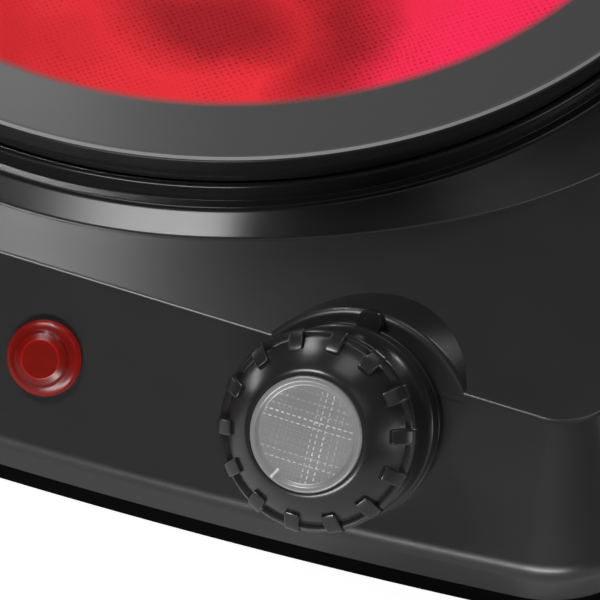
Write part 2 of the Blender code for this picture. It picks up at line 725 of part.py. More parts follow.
def make_inlet():
    """The cord gland in the rear boss with its nut, the terminal block and the earth screw."""
    place = Matrix.Translation((INLET_X, 0.0, INLET_Z)) @ Matrix.Rotation(-math.pi / 2, 4, "X")
    turned(
        "cord_gland",
        [
            (INLET_BORE, 0.0915), (0.0056, 0.0915), (0.0056, 0.1201), (0.0076, 0.1201), (0.0076, 0.1225),
            (0.0060, 0.1240), (0.0054, INLET_REACH), (INLET_BORE, INLET_REACH),
        ],
        "rubber", place, segments=24,
    )
    turned("gland_nut", tube_rings(0.0070, 0.0095, 0.0936, 0.0976), "phenolic", place, segments=6)
    low = PAN_BOTTOM + PAN_FLOOR + GAP
    near, far = (-0.0760, 0.0740, low), (-0.0460, 0.0900, 0.0190)
    terminals = block("terminal_block", near, far, "ceramic", bevel=0.0008)
    centres = [at(x, 0.0820) for x in (-0.070, -0.061, -0.052)]
    wells = [rod("cut", 0.0020, 0.0130, 0.0210, place=centre, segments=12) for centre in centres]
    combine(terminals, join_helpers(wells, "terminal_wells"), "DIFFERENCE")
    screw("earth_screw", low, PAN_BOTTOM + GAP, at(*EARTH_PLACE))


def smooth_route(points, spacing):
    """Points at an even spacing on a smooth curve through the given ones."""
    ends = [points[0] * 2 - points[1], *points, points[-1] * 2 - points[-2]]
    fine = []
    for a, b, c, d in zip(ends, ends[1:], ends[2:], ends[3:]):
        for i in range(24):
            t = i / 24
            square, cube = 2 * a - 5 * b + 4 * c - d, 3 * b - a - 3 * c + d
            fine.append(0.5 * (2 * b + (c - a) * t + square * t**2 + cube * t**3))
    fine.append(points[-1])
    route, travelled = [fine[0]], 0.0
    for before, after in zip(fine, fine[1:]):
        travelled += (after - before).length
        if travelled >= spacing:
            route.append(after)
            travelled = 0.0
    route[-1] = fine[-1]
    return route


def lead(name, points):
    """A sleeved wire along a smooth route."""
    curve = bpy.data.curves.new(name, "CURVE")
    curve.dimensions = "3D"
    curve.bevel_depth = 0.0012
    curve.bevel_resolution = 2
    curve.use_fill_caps = True
    route = smooth_route([Vector(point) for point in points], 0.009)
    spline = curve.splines.new("POLY")
    spline.points.add(len(route) - 1)
    for point, where in zip(spline.points, route):
        point.co = (*where, 1.0)
    curve.materials.append(finish("lead_sleeve"))
    bpy.context.scene.collection.objects.link(bpy.data.objects.new(name, curve))


def make_leads():
    """The internal wires: under the heat shield, at two levels where they cross."""
    behind_knob = panel_frame(*KNOB_PLACE)
    live_end = behind_knob @ Vector((-0.006, 0.000, -0.0205))
    heat_end = behind_knob @ Vector((0.006, -0.004, -0.0205))
    lamp_end = panel_frame(*LAMP_PLACE) @ Vector((0.0, 0.0, -0.0175))
    tabs = [polar(0.073, TERMINAL_ANGLE) @ Vector((0.0, y, 0.0140)) for y in (-0.005, 0.005)]
    lead("live_lead", [
        (-0.052, 0.0725, 0.0135), (-0.030, 0.052, 0.0132), (0.010, 0.020, 0.0132), (0.045, -0.030, 0.0132),
        (0.058, -0.064, 0.0138), live_end,
    ])
    lead("heater_lead", [
        tabs[0], tabs[0] + Vector((0.006, -0.012, -0.0035)), (-0.030, 0.015, 0.0100), (0.030, -0.020, 0.0100),
        (0.070, -0.062, 0.0108), (0.073, -0.076, 0.0125), heat_end,
    ])
    lead("neutral_lead", [
        (-0.061, 0.0725, 0.0135), (-0.0600, 0.0665, 0.0132), tabs[1] + Vector((-0.0005, 0.004, -0.0005)),
    ])
    lead("pilot_lead", [
        (-0.070, 0.0725, 0.0120), (-0.068, 0.050, 0.0120), (-0.060, 0.000, 0.0125), (-0.035, -0.055, 0.0125),
        (0.000, -0.080, 0.0130), lamp_end,
    ])


def main():
    for obj in list(bpy.data.objects):
        bpy.data.objects.remove(obj)
    make_housing()
    make_base()
    make_feet_and_screws()
    make_plate()
    make_heater()
    make_regulator()
    make_knob()
    make_dial_seat()
    make_pilot_lamp()
    make_inlet()
    make_leads()


main()
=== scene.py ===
"""Looks of the hot plate burner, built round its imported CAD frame.

The burner is a glossy black housing with a round glass cooking plate, a sloping control panel, a ribbed knob
under a raised hood and a red pilot lens. Everything is in metres, in the frame's own axes.
"""

from __future__ import annotations

import logging
import math
from dataclasses import dataclass, field
from enum import Enum
from typing import Callable, ClassVar, Iterable, Sequence

import bpy
from mathutils import Matrix, Vector

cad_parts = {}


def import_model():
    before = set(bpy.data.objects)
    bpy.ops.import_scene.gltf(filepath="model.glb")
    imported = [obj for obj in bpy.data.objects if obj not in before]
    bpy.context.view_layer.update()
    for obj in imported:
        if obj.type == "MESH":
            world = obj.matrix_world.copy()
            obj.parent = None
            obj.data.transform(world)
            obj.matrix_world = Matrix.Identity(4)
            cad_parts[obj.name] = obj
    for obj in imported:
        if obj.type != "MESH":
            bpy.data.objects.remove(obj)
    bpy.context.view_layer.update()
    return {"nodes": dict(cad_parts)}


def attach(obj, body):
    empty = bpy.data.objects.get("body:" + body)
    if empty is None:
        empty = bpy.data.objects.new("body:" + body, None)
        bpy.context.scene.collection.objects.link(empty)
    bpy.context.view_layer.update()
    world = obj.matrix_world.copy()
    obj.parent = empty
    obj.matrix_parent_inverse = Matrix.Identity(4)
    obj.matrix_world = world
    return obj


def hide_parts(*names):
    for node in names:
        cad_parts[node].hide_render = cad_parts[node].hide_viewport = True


log = logging.getLogger("hot_plate")

Point = tuple[float, float, float]
Colour = tuple[float, float, float]
Socket = bpy.types.NodeSocket
FIXED_BODY, KNOB_BODY = "burner", "knob"


# Node graph helpers


class Graph:
    """A thin wrapper that adds nodes to one node tree and links them."""

    def __init__(self, tree: bpy.types.NodeTree) -> None:
        """Keeps the tree.

        Args:
            tree: the tree that nodes are added to.
        """
        self.tree = tree

    def add(self, kind: str, **values: object) -> bpy.types.Node:
        """Adds a node.

        Args:
            kind: the node's type name.
            values: settings by attribute name; an input is given as in_Name, with spaces as underscores.

        Returns:
            The new node.
        """
        node = self.tree.nodes.new(kind)
        for name, value in values.items():
            if name.startswith("in_"):
                self.feed(node.inputs[self.key(name[3:])], value)
            else:
                setattr(node, name, value)
        return node

    @staticmethod
    def key(name: str) -> str | int:
        """Turns in_0 into the index 0, and in_Base_Color into the name Base Color."""
        return int(name) if name.isdigit() else name.replace("_", " ")

    def feed(self, socket: bpy.types.NodeSocket, value: object) -> None:
        """Links a socket to another, or sets its value."""
        if isinstance(value, bpy.types.NodeSocket):
            self.tree.links.new(value, socket)
        else:
            socket.default_value = value

    def math(self, operation: str, first: object, second: object = 0.0, clamp: bool = False) -> Socket:
        """Adds a Math node and returns its output."""
        node = self.add("ShaderNodeMath", operation=operation, use_clamp=clamp, in_0=first, in_1=second)
        return node.outputs[0]

    def product(self, *factors: object, clamp: bool = False) -> Socket:
        """Multiplies two or more values, from the first to the last."""
        total = factors[0]
        for factor in factors[1:-1]:
            total = self.math("MULTIPLY", total, factor)
        return self.math("MULTIPLY", total, factors[-1], clamp=clamp)

    def where(self) -> Socket:
        """The object coordinates of the shaded point."""
        return self.add("ShaderNodeTexCoord").outputs["Object"]

    def parts(self, vector: object) -> Sequence[Socket]:
        """The X, Y and Z of a vector."""
        return self.add("ShaderNodeSeparateXYZ", in_0=vector).outputs

    def length(self, vector: object) -> Socket:
        """The length of a vector."""
        return self.add("ShaderNodeVectorMath", operation="LENGTH", in_0=vector).outputs["Value"]

    def radius(self, where: Socket) -> Socket:
        """The distance of a point from the Z axis."""
        flat = self.add("ShaderNodeVectorMath", operation="MULTIPLY", in_0=where, in_1=(1.0, 1.0, 0.0))
        return self.length(flat.outputs[0])

    def ramp(self, value: object, stops: Sequence[tuple[float, Colour | float]]) -> Socket:
        """Adds a colour ramp with these stops and returns its colour."""
        node = self.add("ShaderNodeValToRGB", in_Fac=value)
        ramp = node.color_ramp
        while len(ramp.elements) < len(stops):
            ramp.elements.new(0.5)
        for element, (place, colour) in zip(ramp.elements, stops):
            element.position = place
            rgb = (colour,) * 3 if isinstance(colour, float) else colour
            element.color = (*rgb, 1.0)
        return node.outputs[0]

    def mix(self, share: object, first: object, second: object, blend: str = "MIX") -> Socket:
        """Adds a colour Mix node and returns its result."""
        node = self.add("ShaderNodeMix", data_type="RGBA", blend_type=blend)
        self.feed(node.inputs[0], share)
        for socket, value in ((node.inputs[6], first), (node.inputs[7], second)):
            self.feed(socket, (*value, 1.0) if isinstance(value, tuple) and len(value) == 3 else value)
        return node.outputs[2]

    def noise(self, where: object, scale: object, detail: float = 3.0, roughness: float = 0.5) -> Socket:
        """Adds a Noise node and returns its value."""
        node = self.add("ShaderNodeTexNoise", in_Vector=where, in_Scale=scale, in_Detail=detail)
        self.feed(node.inputs["Roughness"], roughness)
        return node.outputs[0]

    def spread(self, value: object, low: float, high: float, start: float = 0.0, end: float = 1.0) -> Socket:
        """Maps a value from start to end onto the range from low to high."""
        node = self.add("ShaderNodeMapRange", in_0=value, in_1=start, in_2=end, in_3=low, in_4=high)
        return node.outputs[0]


class Effect(Enum):
    """Surface effects that several finishes share, each a node group."""

    GRAIN = "surface_grain"
    # A painted highlight: a lighter colour along the edges of a surface.
    WEAR = "painted_edge_highlight"


class EffectLibrary:
    """Builds each shared node group once."""

    def __init__(self) -> None:
        """Starts with no group built."""
        self.groups: dict[Effect, bpy.types.NodeTree] = {}

    def group(self, effect: Effect) -> bpy.types.NodeTree:
        """Returns the effect's group, and builds it on first use."""
        if effect not in self.groups:
            maker = {Effect.GRAIN: self.make_grain, Effect.WEAR: self.make_painted_edge_highlight}
            self.groups[effect] = maker[effect]()
        return self.groups[effect]

    @staticmethod
    def start(
        effect: Effect, inputs: dict[str, float], outputs: Iterable[str]
    ) -> tuple[Graph, bpy.types.Node, bpy.types.Node]:
        """Makes an empty group with named number inputs and outputs.

        Args:
            effect: the effect that names the group.
            inputs: each number input with its usual value.
            outputs: the names of the number outputs.

        Returns:
            The graph, and the group's input and output nodes.
        """
        tree = bpy.data.node_groups.new(effect.value, "ShaderNodeTree")
        for name, value in inputs.items():
            socket = tree.interface.new_socket(name, in_out="INPUT", socket_type="NodeSocketFloat")
            socket.default_value = value
        for name in outputs:
            tree.interface.new_socket(name, in_out="OUTPUT", socket_type="NodeSocketFloat")
        graph = Graph(tree)
        return graph, graph.add("NodeGroupInput"), graph.add("NodeGroupOutput")

    def make_grain(self) -> bpy.types.NodeTree:
        """Fine moulded or sprayed grain: a height for a bump, and a slow roughness change."""
        graph, given, out = self.start(Effect.GRAIN, {"Scale": 900.0, "Contrast": 0.5}, ("Height", "Patches"))
        where = graph.where()
        fine = graph.noise(where, given.outputs["Scale"], 4.0)
        slow = graph.noise(where, 38.0, 4.0, 0.6)
        centred = graph.math("SUBTRACT", fine, 0.5)
        height = graph.math("ADD", graph.product(centred, given.outputs["Contrast"]), 0.5)
        graph.feed(out.inputs["Height"], height)
        graph.feed(out.inputs["Patches"], slow)
        return graph.tree

    def make_painted_edge_highlight(self) -> bpy.types.NodeTree:
        """Painted highlight along edges: a lighter colour from the bend of the surface."""
        graph, given, out = self.start(Effect.WEAR, {"Width": 0.0006, "Amount": 0.5}, ("Mask",))
        bevel = graph.add("ShaderNodeBevel", samples=4, in_Radius=given.outputs["Width"])
        flat = graph.add("ShaderNodeNewGeometry").outputs["Normal"]
        dot = graph.add("ShaderNodeVectorMath", operation="DOT_PRODUCT", in_0=bevel.outputs[0], in_1=flat)
        edge = graph.math("SUBTRACT", 1.0, dot.outputs["Value"], clamp=True)
        broken = graph.noise(graph.where(), 300.0, 4.0)
        mask = graph.product(edge, broken, 6.0, given.outputs["Amount"], clamp=True)
        graph.feed(out.inputs["Mask"], mask)
        return graph.tree

    def place(self, graph: Graph, effect: Effect, **values: float) -> bpy.types.Node:
        """Adds the effect to a material with its own values."""
        node = graph.add("ShaderNodeGroup", node_tree=self.group(effect))
        for name, value in values.items():
            node.inputs[name].default_value = value
        return node


# Finishes


def plain_material(name: str) -> tuple[bpy.types.Material, Graph, bpy.types.Node]:
    """Makes an empty material.

    Args:
        name: the material's name.

    Returns:
        The material, its graph and its Principled BSDF.
    """
    material = bpy.data.materials.new(name)
    material.use_nodes = True
    return material, Graph(material.node_tree), material.node_tree.nodes["Principled BSDF"]


@dataclass(frozen=True)
class Finish:
    """A plain one-layer finish with grain and a painted highlight that lightens its edges."""

    name: str
    colour: Colour
    roughness: float
    metallic: float = 0.0
    tint: float = 0.10
    grain: float = 900.0
    bump: float = 0.02
    rough_spread: float = 0.06
    edge_highlight: float = 0.0
    specular: float = 0.5

    def build(self, effects: EffectLibrary) -> bpy.types.Material:
        """Makes the material.

        Args:
            effects: the library of shared node groups.

        Returns:
            The material, with its Principled BSDF in the material itself.
        """
        material, graph, shader = plain_material(self.name)
        self.dress(graph, shader, effects)
        return material

    def dress(self, graph: Graph, shader: bpy.types.Node, effects: EffectLibrary) -> None:
        """Feeds the shader's colour, roughness and normal from the shared effects."""
        grain = effects.place(graph, Effect.GRAIN, Scale=self.grain, Contrast=0.6)
        low = tuple(part * (1.0 - self.tint) for part in self.colour)
        high = tuple(min(part * (1.0 + self.tint), 1.0) for part in self.colour)
        colour = graph.mix(grain.outputs["Patches"], low, high)
        smoothest = max(self.roughness - self.rough_spread, 0.02)
        rough = graph.spread(grain.outputs["Patches"], smoothest, self.roughness + self.rough_spread)
        # Painted highlight: the colour is lightened along the edges.
        if self.edge_highlight:
            edge_highlight = effects.place(graph, Effect.WEAR, Amount=self.edge_highlight)
            worn_and_highlit = tuple(min(part * 1.6 + 0.02, 1.0) for part in self.colour)
            colour = graph.mix(edge_highlight.outputs["Mask"], colour, worn_and_highlit)
        bump = graph.add("ShaderNodeBump", in_Strength=self.bump, in_Distance=0.0005)
        graph.feed(bump.inputs["Height"], grain.outputs["Height"])
        graph.feed(shader.inputs["Base Color"], colour)
        graph.feed(shader.inputs["Roughness"], rough)
        graph.feed(shader.inputs["Normal"], bump.outputs["Normal"])
        shader.inputs["Metallic"].default_value = self.metallic
        shader.inputs["Specular IOR Level"].default_value = self.specular


@dataclass(frozen=True)
class GlowingGlass:
    """Dark glass ceramic that glows red over the heater, with the heater's mesh showing through.

    Each spot is a dull patch: its centre, its reach along its two axes, its turn in degrees and its strength.
    """

    name: str = "glowing_glass"
    zone_radius: float = 0.0774
    zone_blur: float = 0.0009
    mesh_pitch: float = 0.00125
    rim_colour: Colour = (0.078, 0.078, 0.078)
    side_colour: Colour = (0.010, 0.010, 0.010)
    # A painted highlight: the light colour of the ground chamfer at the rim's top edge.
    chamfer_highlight_colour: Colour = (0.24, 0.24, 0.24)
    top: float = 0.0580
    edge_heights: tuple[float, float] = (0.0575, 0.05788)
    pink_side: tuple[float, float] = (0.038, 0.058)
    warp: float = 0.012
    spots: tuple[tuple[float, float, float, float, float, float], ...] = (
        (0.020, -0.056, 0.022, 0.011, 0.0, 1.3),
        (0.040, -0.050, 0.010, 0.034, 10.0, 1.1),
        (0.028, -0.010, 0.030, 0.016, 20.0, 0.8),
        (-0.022, 0.014, 0.026, 0.014, -30.0, 1.0),
        (-0.050, -0.030, 0.020, 0.012, 60.0, 0.8),
        (0.010, 0.052, 0.030, 0.012, 10.0, 0.9),
        (0.050, 0.030, 0.012, 0.024, -20.0, 0.7),
        (-0.048, 0.040, 0.014, 0.020, 30.0, 0.8),
    )

    def build(self, effects: EffectLibrary) -> bpy.types.Material:
        """Makes the material.

        Args:
            effects: the library of shared node groups.

        Returns:
            The material; its glow is masked by the distance from the plate's axis.
        """
        material, graph, shader = plain_material(self.name)
        where = graph.where()
        parts = graph.parts(where)
        radius = graph.radius(where)
        inside = graph.math("SUBTRACT", self.zone_radius, radius)
        zone = graph.math("ADD", graph.math("DIVIDE", inside, 2.0 * self.zone_blur), 0.5, clamp=True)
        grain = effects.place(graph, Effect.GRAIN, Scale=700.0, Contrast=0.5)
        gloss = graph.spread(grain.outputs["Patches"], 0.26, 0.34)
        rim = self.rim_paint(graph, radius, parts[2])
        glow = self.glow_colour(graph, where, parts)
        graph.feed(shader.inputs["Base Color"], graph.mix(zone, rim, (0.012, 0.002, 0.002)))
        graph.feed(shader.inputs["Roughness"], graph.math("ADD", graph.product(zone, 0.45), gloss))
        bump = graph.add("ShaderNodeBump", in_Strength=0.01, in_Distance=0.0005)
        graph.feed(bump.inputs["Height"], grain.outputs["Height"])
        graph.feed(shader.inputs["Normal"], bump.outputs["Normal"])
        graph.feed(shader.inputs["Emission Color"], graph.mix(zone, (0.0, 0.0, 0.0), glow))
        shader.inputs["Emission Strength"].default_value = 1.0
        shader.inputs["Specular IOR Level"].default_value = 0.15
        return material

    def rim_paint(self, graph: Graph, radius: Socket, height: Socket) -> Socket:
        """Grey on top of the rim, dark on the side, and a painted highlight in a light colour on the ground
        chamfer between the two.
        """
        low, high = self.edge_heights
        on_top = graph.math("GREATER_THAN", height, self.top - 0.0004)
        ground = graph.product(
            graph.math("LESS_THAN", height, high), graph.math("GREATER_THAN", height, low),
            graph.math("GREATER_THAN", radius, self.zone_radius),
        )
        return graph.mix(ground, graph.mix(on_top, self.side_colour, self.rim_colour), self.chamfer_highlight_colour)

    def glow_colour(self, graph: Graph, where: Socket, parts: Sequence[Socket]) -> Socket:
        """Red to pink light, with dull patches and the fine mesh over the element."""
        slow = graph.ramp(graph.noise(where, 34.0, 2.0, 0.5), [(0.35, 0.0), (0.62, 1.0)])
        red = graph.mix(slow, (0.58, 0.012, 0.020), (0.80, 0.022, 0.034))
        side = graph.spread(parts[0], 0.0, 1.0, *self.pink_side)
        pink = graph.mix(side, red, (0.94, 0.018, 0.088))
        spots = self.dull_spots(graph, where)
        dull = graph.mix(spots, pink, (0.34, 0.006, 0.012))
        mesh = self.mesh_shadow(graph, parts, where, spots)
        return graph.mix(mesh, dull, (0.20, 0.002, 0.006))

    def dull_spots(self, graph: Graph, where: Socket) -> Socket:
        """Soft dark patches over the gaps between the element's turns."""
        total: object = 0.0
        warped = graph.add("ShaderNodeTexNoise", in_Vector=where, in_Scale=60.0, in_Detail=2.0).outputs[1]
        shift = graph.add("ShaderNodeVectorMath", operation="SCALE", in_0=warped, in_Scale=self.warp)
        moved = graph.add("ShaderNodeVectorMath", operation="ADD", in_0=where, in_1=shift.outputs[0])
        middle = self.warp / 2
        for x, y, reach_x, reach_y, degrees, strength in self.spots:
            mapping = graph.add("ShaderNodeMapping", vector_type="TEXTURE", in_Vector=moved.outputs[0])
            mapping.inputs["Location"].default_value = (x + middle, y + middle, self.top + middle)
            mapping.inputs["Rotation"].default_value = (0.0, 0.0, math.radians(degrees))
            mapping.inputs["Scale"].default_value = (reach_x, reach_y, 1.0)
            fade = graph.math("SUBTRACT", 1.0, graph.length(mapping.outputs[0]), clamp=True)
            total = graph.math("MAXIMUM", total, graph.product(fade, strength))
        return graph.math("MINIMUM", total, 0.95)

    def mesh_shadow(self, graph: Graph, parts: Sequence[Socket], where: Socket, spots: Socket) -> Socket:
        """The dark dots between crossing wires: clearest over the dull spots, and washed out elsewhere."""
        turn = 2.0 * math.pi / self.mesh_pitch
        wobble = graph.product(graph.noise(where, 110.0, 3.0), 0.0024)
        across, along = (
            graph.math("SINE", graph.product(graph.math("ADD", part, wobble), turn)) for part in parts[:2]
        )
        dots = graph.math("SUBTRACT", graph.product(along, across), 0.10)
        sharp = graph.product(dots, 2.2, clamp=True)
        patches = graph.ramp(graph.noise(where, 70.0, 4.0, 0.6), [(0.38, 0.05), (0.62, 0.40)])
        clear = graph.math("ADD", patches, graph.product(spots, 0.55), clamp=True)
        fine = graph.ramp(graph.noise(where, 1000.0, 2.0), [(0.36, 0.35), (0.62, 1.25)])
        return graph.product(sharp, clear, fine, clamp=True)


def fitting_coordinates(graph: Graph, place: Matrix) -> Socket:
    """Object coordinates turned into the frame of a fitting on the panel.

    Args:
        graph: the material's graph.
        place: the fitting's frame.

    Returns:
        The vector output, with Z out of the panel.
    """
    offset, turn, _ = place.inverted().decompose()
    mapping = graph.add("ShaderNodeMapping", in_Vector=graph.where())
    mapping.inputs["Location"].default_value = offset
    mapping.inputs["Rotation"].default_value = turn.to_euler("XYZ")
    return mapping.outputs[0]


@dataclass(frozen=True)
class PilotRed:
    """Clear red plastic, lit faintly from behind; its glow also paints a highlight ring round its flat top, a
    shadow band on its slope and a highlight on its outer rim.
    """

    name: str = "pilot_red"
    place: Matrix = field(default_factory=Matrix)
    highlight_ring_radius: float = 0.0032
    reach: float = 0.0063

    def build(self, effects: EffectLibrary) -> bpy.types.Material:
        """Makes the material.

        Args:
            effects: the library of shared node groups.

        Returns:
            The material, shaded by the distance from the lens's axis.
        """
        material, graph, shader = plain_material(self.name)
        where = fitting_coordinates(graph, self.place)
        share = graph.math("DIVIDE", graph.radius(where), self.reach)
        ring = self.highlight_ring_radius / self.reach
        # The lamp's own glow by radius, with a painted highlight ring round the flat top, a painted shadow
        # band on the slope and a painted highlight on the outer rim.
        light = graph.ramp(share, [
            (0.0, (0.120, 0.0040, 0.0016)), (ring - 0.025, (0.125, 0.0040, 0.0018)),
            (ring, (0.42, 0.0060, 0.0080)), (ring + 0.030, (0.125, 0.0036, 0.0016)),
            (0.72, (0.070, 0.0022, 0.0010)), (0.84, (0.100, 0.0026, 0.0012)), (0.96, (0.170, 0.0040, 0.0030)),
        ])
        smoky = graph.ramp(graph.noise(where, 420.0, 2.0), [(0.35, 0.78), (0.62, 1.0)])
        grain = effects.place(graph, Effect.GRAIN, Scale=900.0, Contrast=0.4)
        graph.feed(shader.inputs["Emission Color"], graph.mix(1.0, light, smoky, "MULTIPLY"))
        base = graph.mix(grain.outputs["Patches"], (0.060, 0.002, 0.001), (0.09, 0.003, 0.002))
        graph.feed(shader.inputs["Base Color"], base)
        graph.feed(shader.inputs["Roughness"], graph.spread(grain.outputs["Patches"], 0.20, 0.28))
        shader.inputs["Emission Strength"].default_value = 0.88
        shader.inputs["Specular IOR Level"].default_value = 0.30
        return material


@dataclass(frozen=True)
class CrossHatchedCap:
    """Silver cap with a fine engraved grid inside a plain rim, and a short white pointer mark.

    rows and columns hold each strong line's offset from the middle in millimetres, and its strength.
    half_line is half a line's width as a share of the cap's width.
    """

    name: str = "cross_hatched_cap"
    axis: Matrix = field(default_factory=Matrix)
    face_radius: float = 0.0080
    rim_radius: float = 0.0096
    pointer_bearing: float = math.radians(245.0)
    pointer_reach: tuple[float, float] = (0.0074, 0.0092)
    pointer_width: float = 0.00044
    pitch: float = 0.0006
    dash_pitch: float = 0.0010
    half_line: float = 0.0052
    rows: tuple[tuple[float, float], ...] = (
        (2.4, 1.0), (1.3, 1.0), (-5.0, 0.8), (-3.7, 0.45), (5.2, 0.45), (6.8, 0.3), (3.6, 0.35), (-1.4, 0.12),
        (-2.5, 0.12),
    )
    columns: tuple[tuple[float, float], ...] = (
        (1.8, 0.9), (3.0, 0.8), (0.9, 0.5), (4.3, 0.3), (5.4, 0.25), (-3.4, 0.12), (-4.6, 0.2), (-5.6, 0.15),
    )

    def build(self, effects: EffectLibrary) -> bpy.types.Material:
        """Makes the material.

        Args:
            effects: the library of shared node groups.

        Returns:
            The material, whose pattern lies in the knob's own frame.
        """
        material, graph, shader = plain_material(self.name)
        where = fitting_coordinates(graph, self.axis)
        parts = graph.parts(where)
        inside = graph.math("LESS_THAN", graph.radius(where), self.face_radius)
        lines = graph.product(self.hatch(graph, parts, where), inside)
        pointer = self.pointer(graph, parts)
        grain = effects.place(graph, Effect.GRAIN, Scale=1600.0, Contrast=0.8)
        base = graph.mix(grain.outputs["Patches"], (0.225, 0.225, 0.23), (0.295, 0.295, 0.30))
        lined = graph.mix(graph.product(lines, 0.80), base, (0.80, 0.80, 0.81))
        graph.feed(shader.inputs["Base Color"], graph.mix(pointer, lined, (0.72, 0.72, 0.72)))
        graph.feed(shader.inputs["Roughness"], graph.spread(grain.outputs["Patches"], 0.26, 0.38))
        shader.inputs["Metallic"].default_value = 0.35
        bump = graph.add("ShaderNodeBump", in_Strength=0.35, in_Distance=0.0001)
        graph.feed(bump.inputs["Height"], lines)
        graph.feed(shader.inputs["Normal"], bump.outputs["Normal"])
        return material

    def hatch(self, graph: Graph, parts: Sequence[Socket], where: Socket) -> Socket:
        """Broken fine lines both ways, some stronger than others, over a faint close grid."""
        found = []
        for lines, index, other in ((self.rows, 1, 0), (self.columns, 0, 1)):
            place = graph.math("ADD", graph.math("DIVIDE", parts[index], 2.0 * self.rim_radius), 0.5)
            stops: list[tuple[float, Colour | float]] = [(0.0, 0.0)]
            for offset, strength in sorted(lines):
                centre = offset * 0.001 / (2.0 * self.rim_radius) + 0.5
                stops += [(centre - self.half_line, strength), (centre + self.half_line, 0.0)]
            bright = graph.ramp(place, stops)
            bright.node.color_ramp.interpolation = "CONSTANT"
            dash = graph.math("SINE", graph.product(parts[other], 2.0 * math.pi / self.dash_pitch))
            dashed = graph.math("ADD", graph.product(dash, 1.2), 0.75, clamp=True)
            close = graph.math("SINE", graph.product(parts[index], 2.0 * math.pi / self.pitch))
            faint = graph.product(graph.math("GREATER_THAN", close, 0.80), 0.07)
            found.append(graph.math("MAXIMUM", graph.product(bright, dashed), faint))
        worn_and_highlit = graph.ramp(graph.noise(where, 260.0, 2.0), [(0.30, 0.45), (0.60, 1.0)])
        return graph.product(graph.math("MAXIMUM", *found), worn_and_highlit, clamp=True)

    def pointer(self, graph: Graph, parts: Sequence[Socket]) -> Socket:
        """A short radial white line across the rim."""
        cos, sin = math.cos(self.pointer_bearing), math.sin(self.pointer_bearing)
        along = graph.math("ADD", graph.product(parts[0], cos), graph.product(parts[1], sin))
        across = graph.math("SUBTRACT", graph.product(parts[1], cos), graph.product(parts[0], sin))
        start, end = self.pointer_reach
        narrow = graph.math("LESS_THAN", graph.math("ABSOLUTE", across), self.pointer_width / 2)
        outer = graph.math("GREATER_THAN", along, start)
        inner = graph.math("LESS_THAN", along, end)
        return graph.product(narrow, outer, inner)


# Shop tools: small modelling steps made of Blender's own operators


class Cut(Enum):
    """What a Boolean does with its helper."""

    ADD = "UNION"
    REMOVE = "DIFFERENCE"


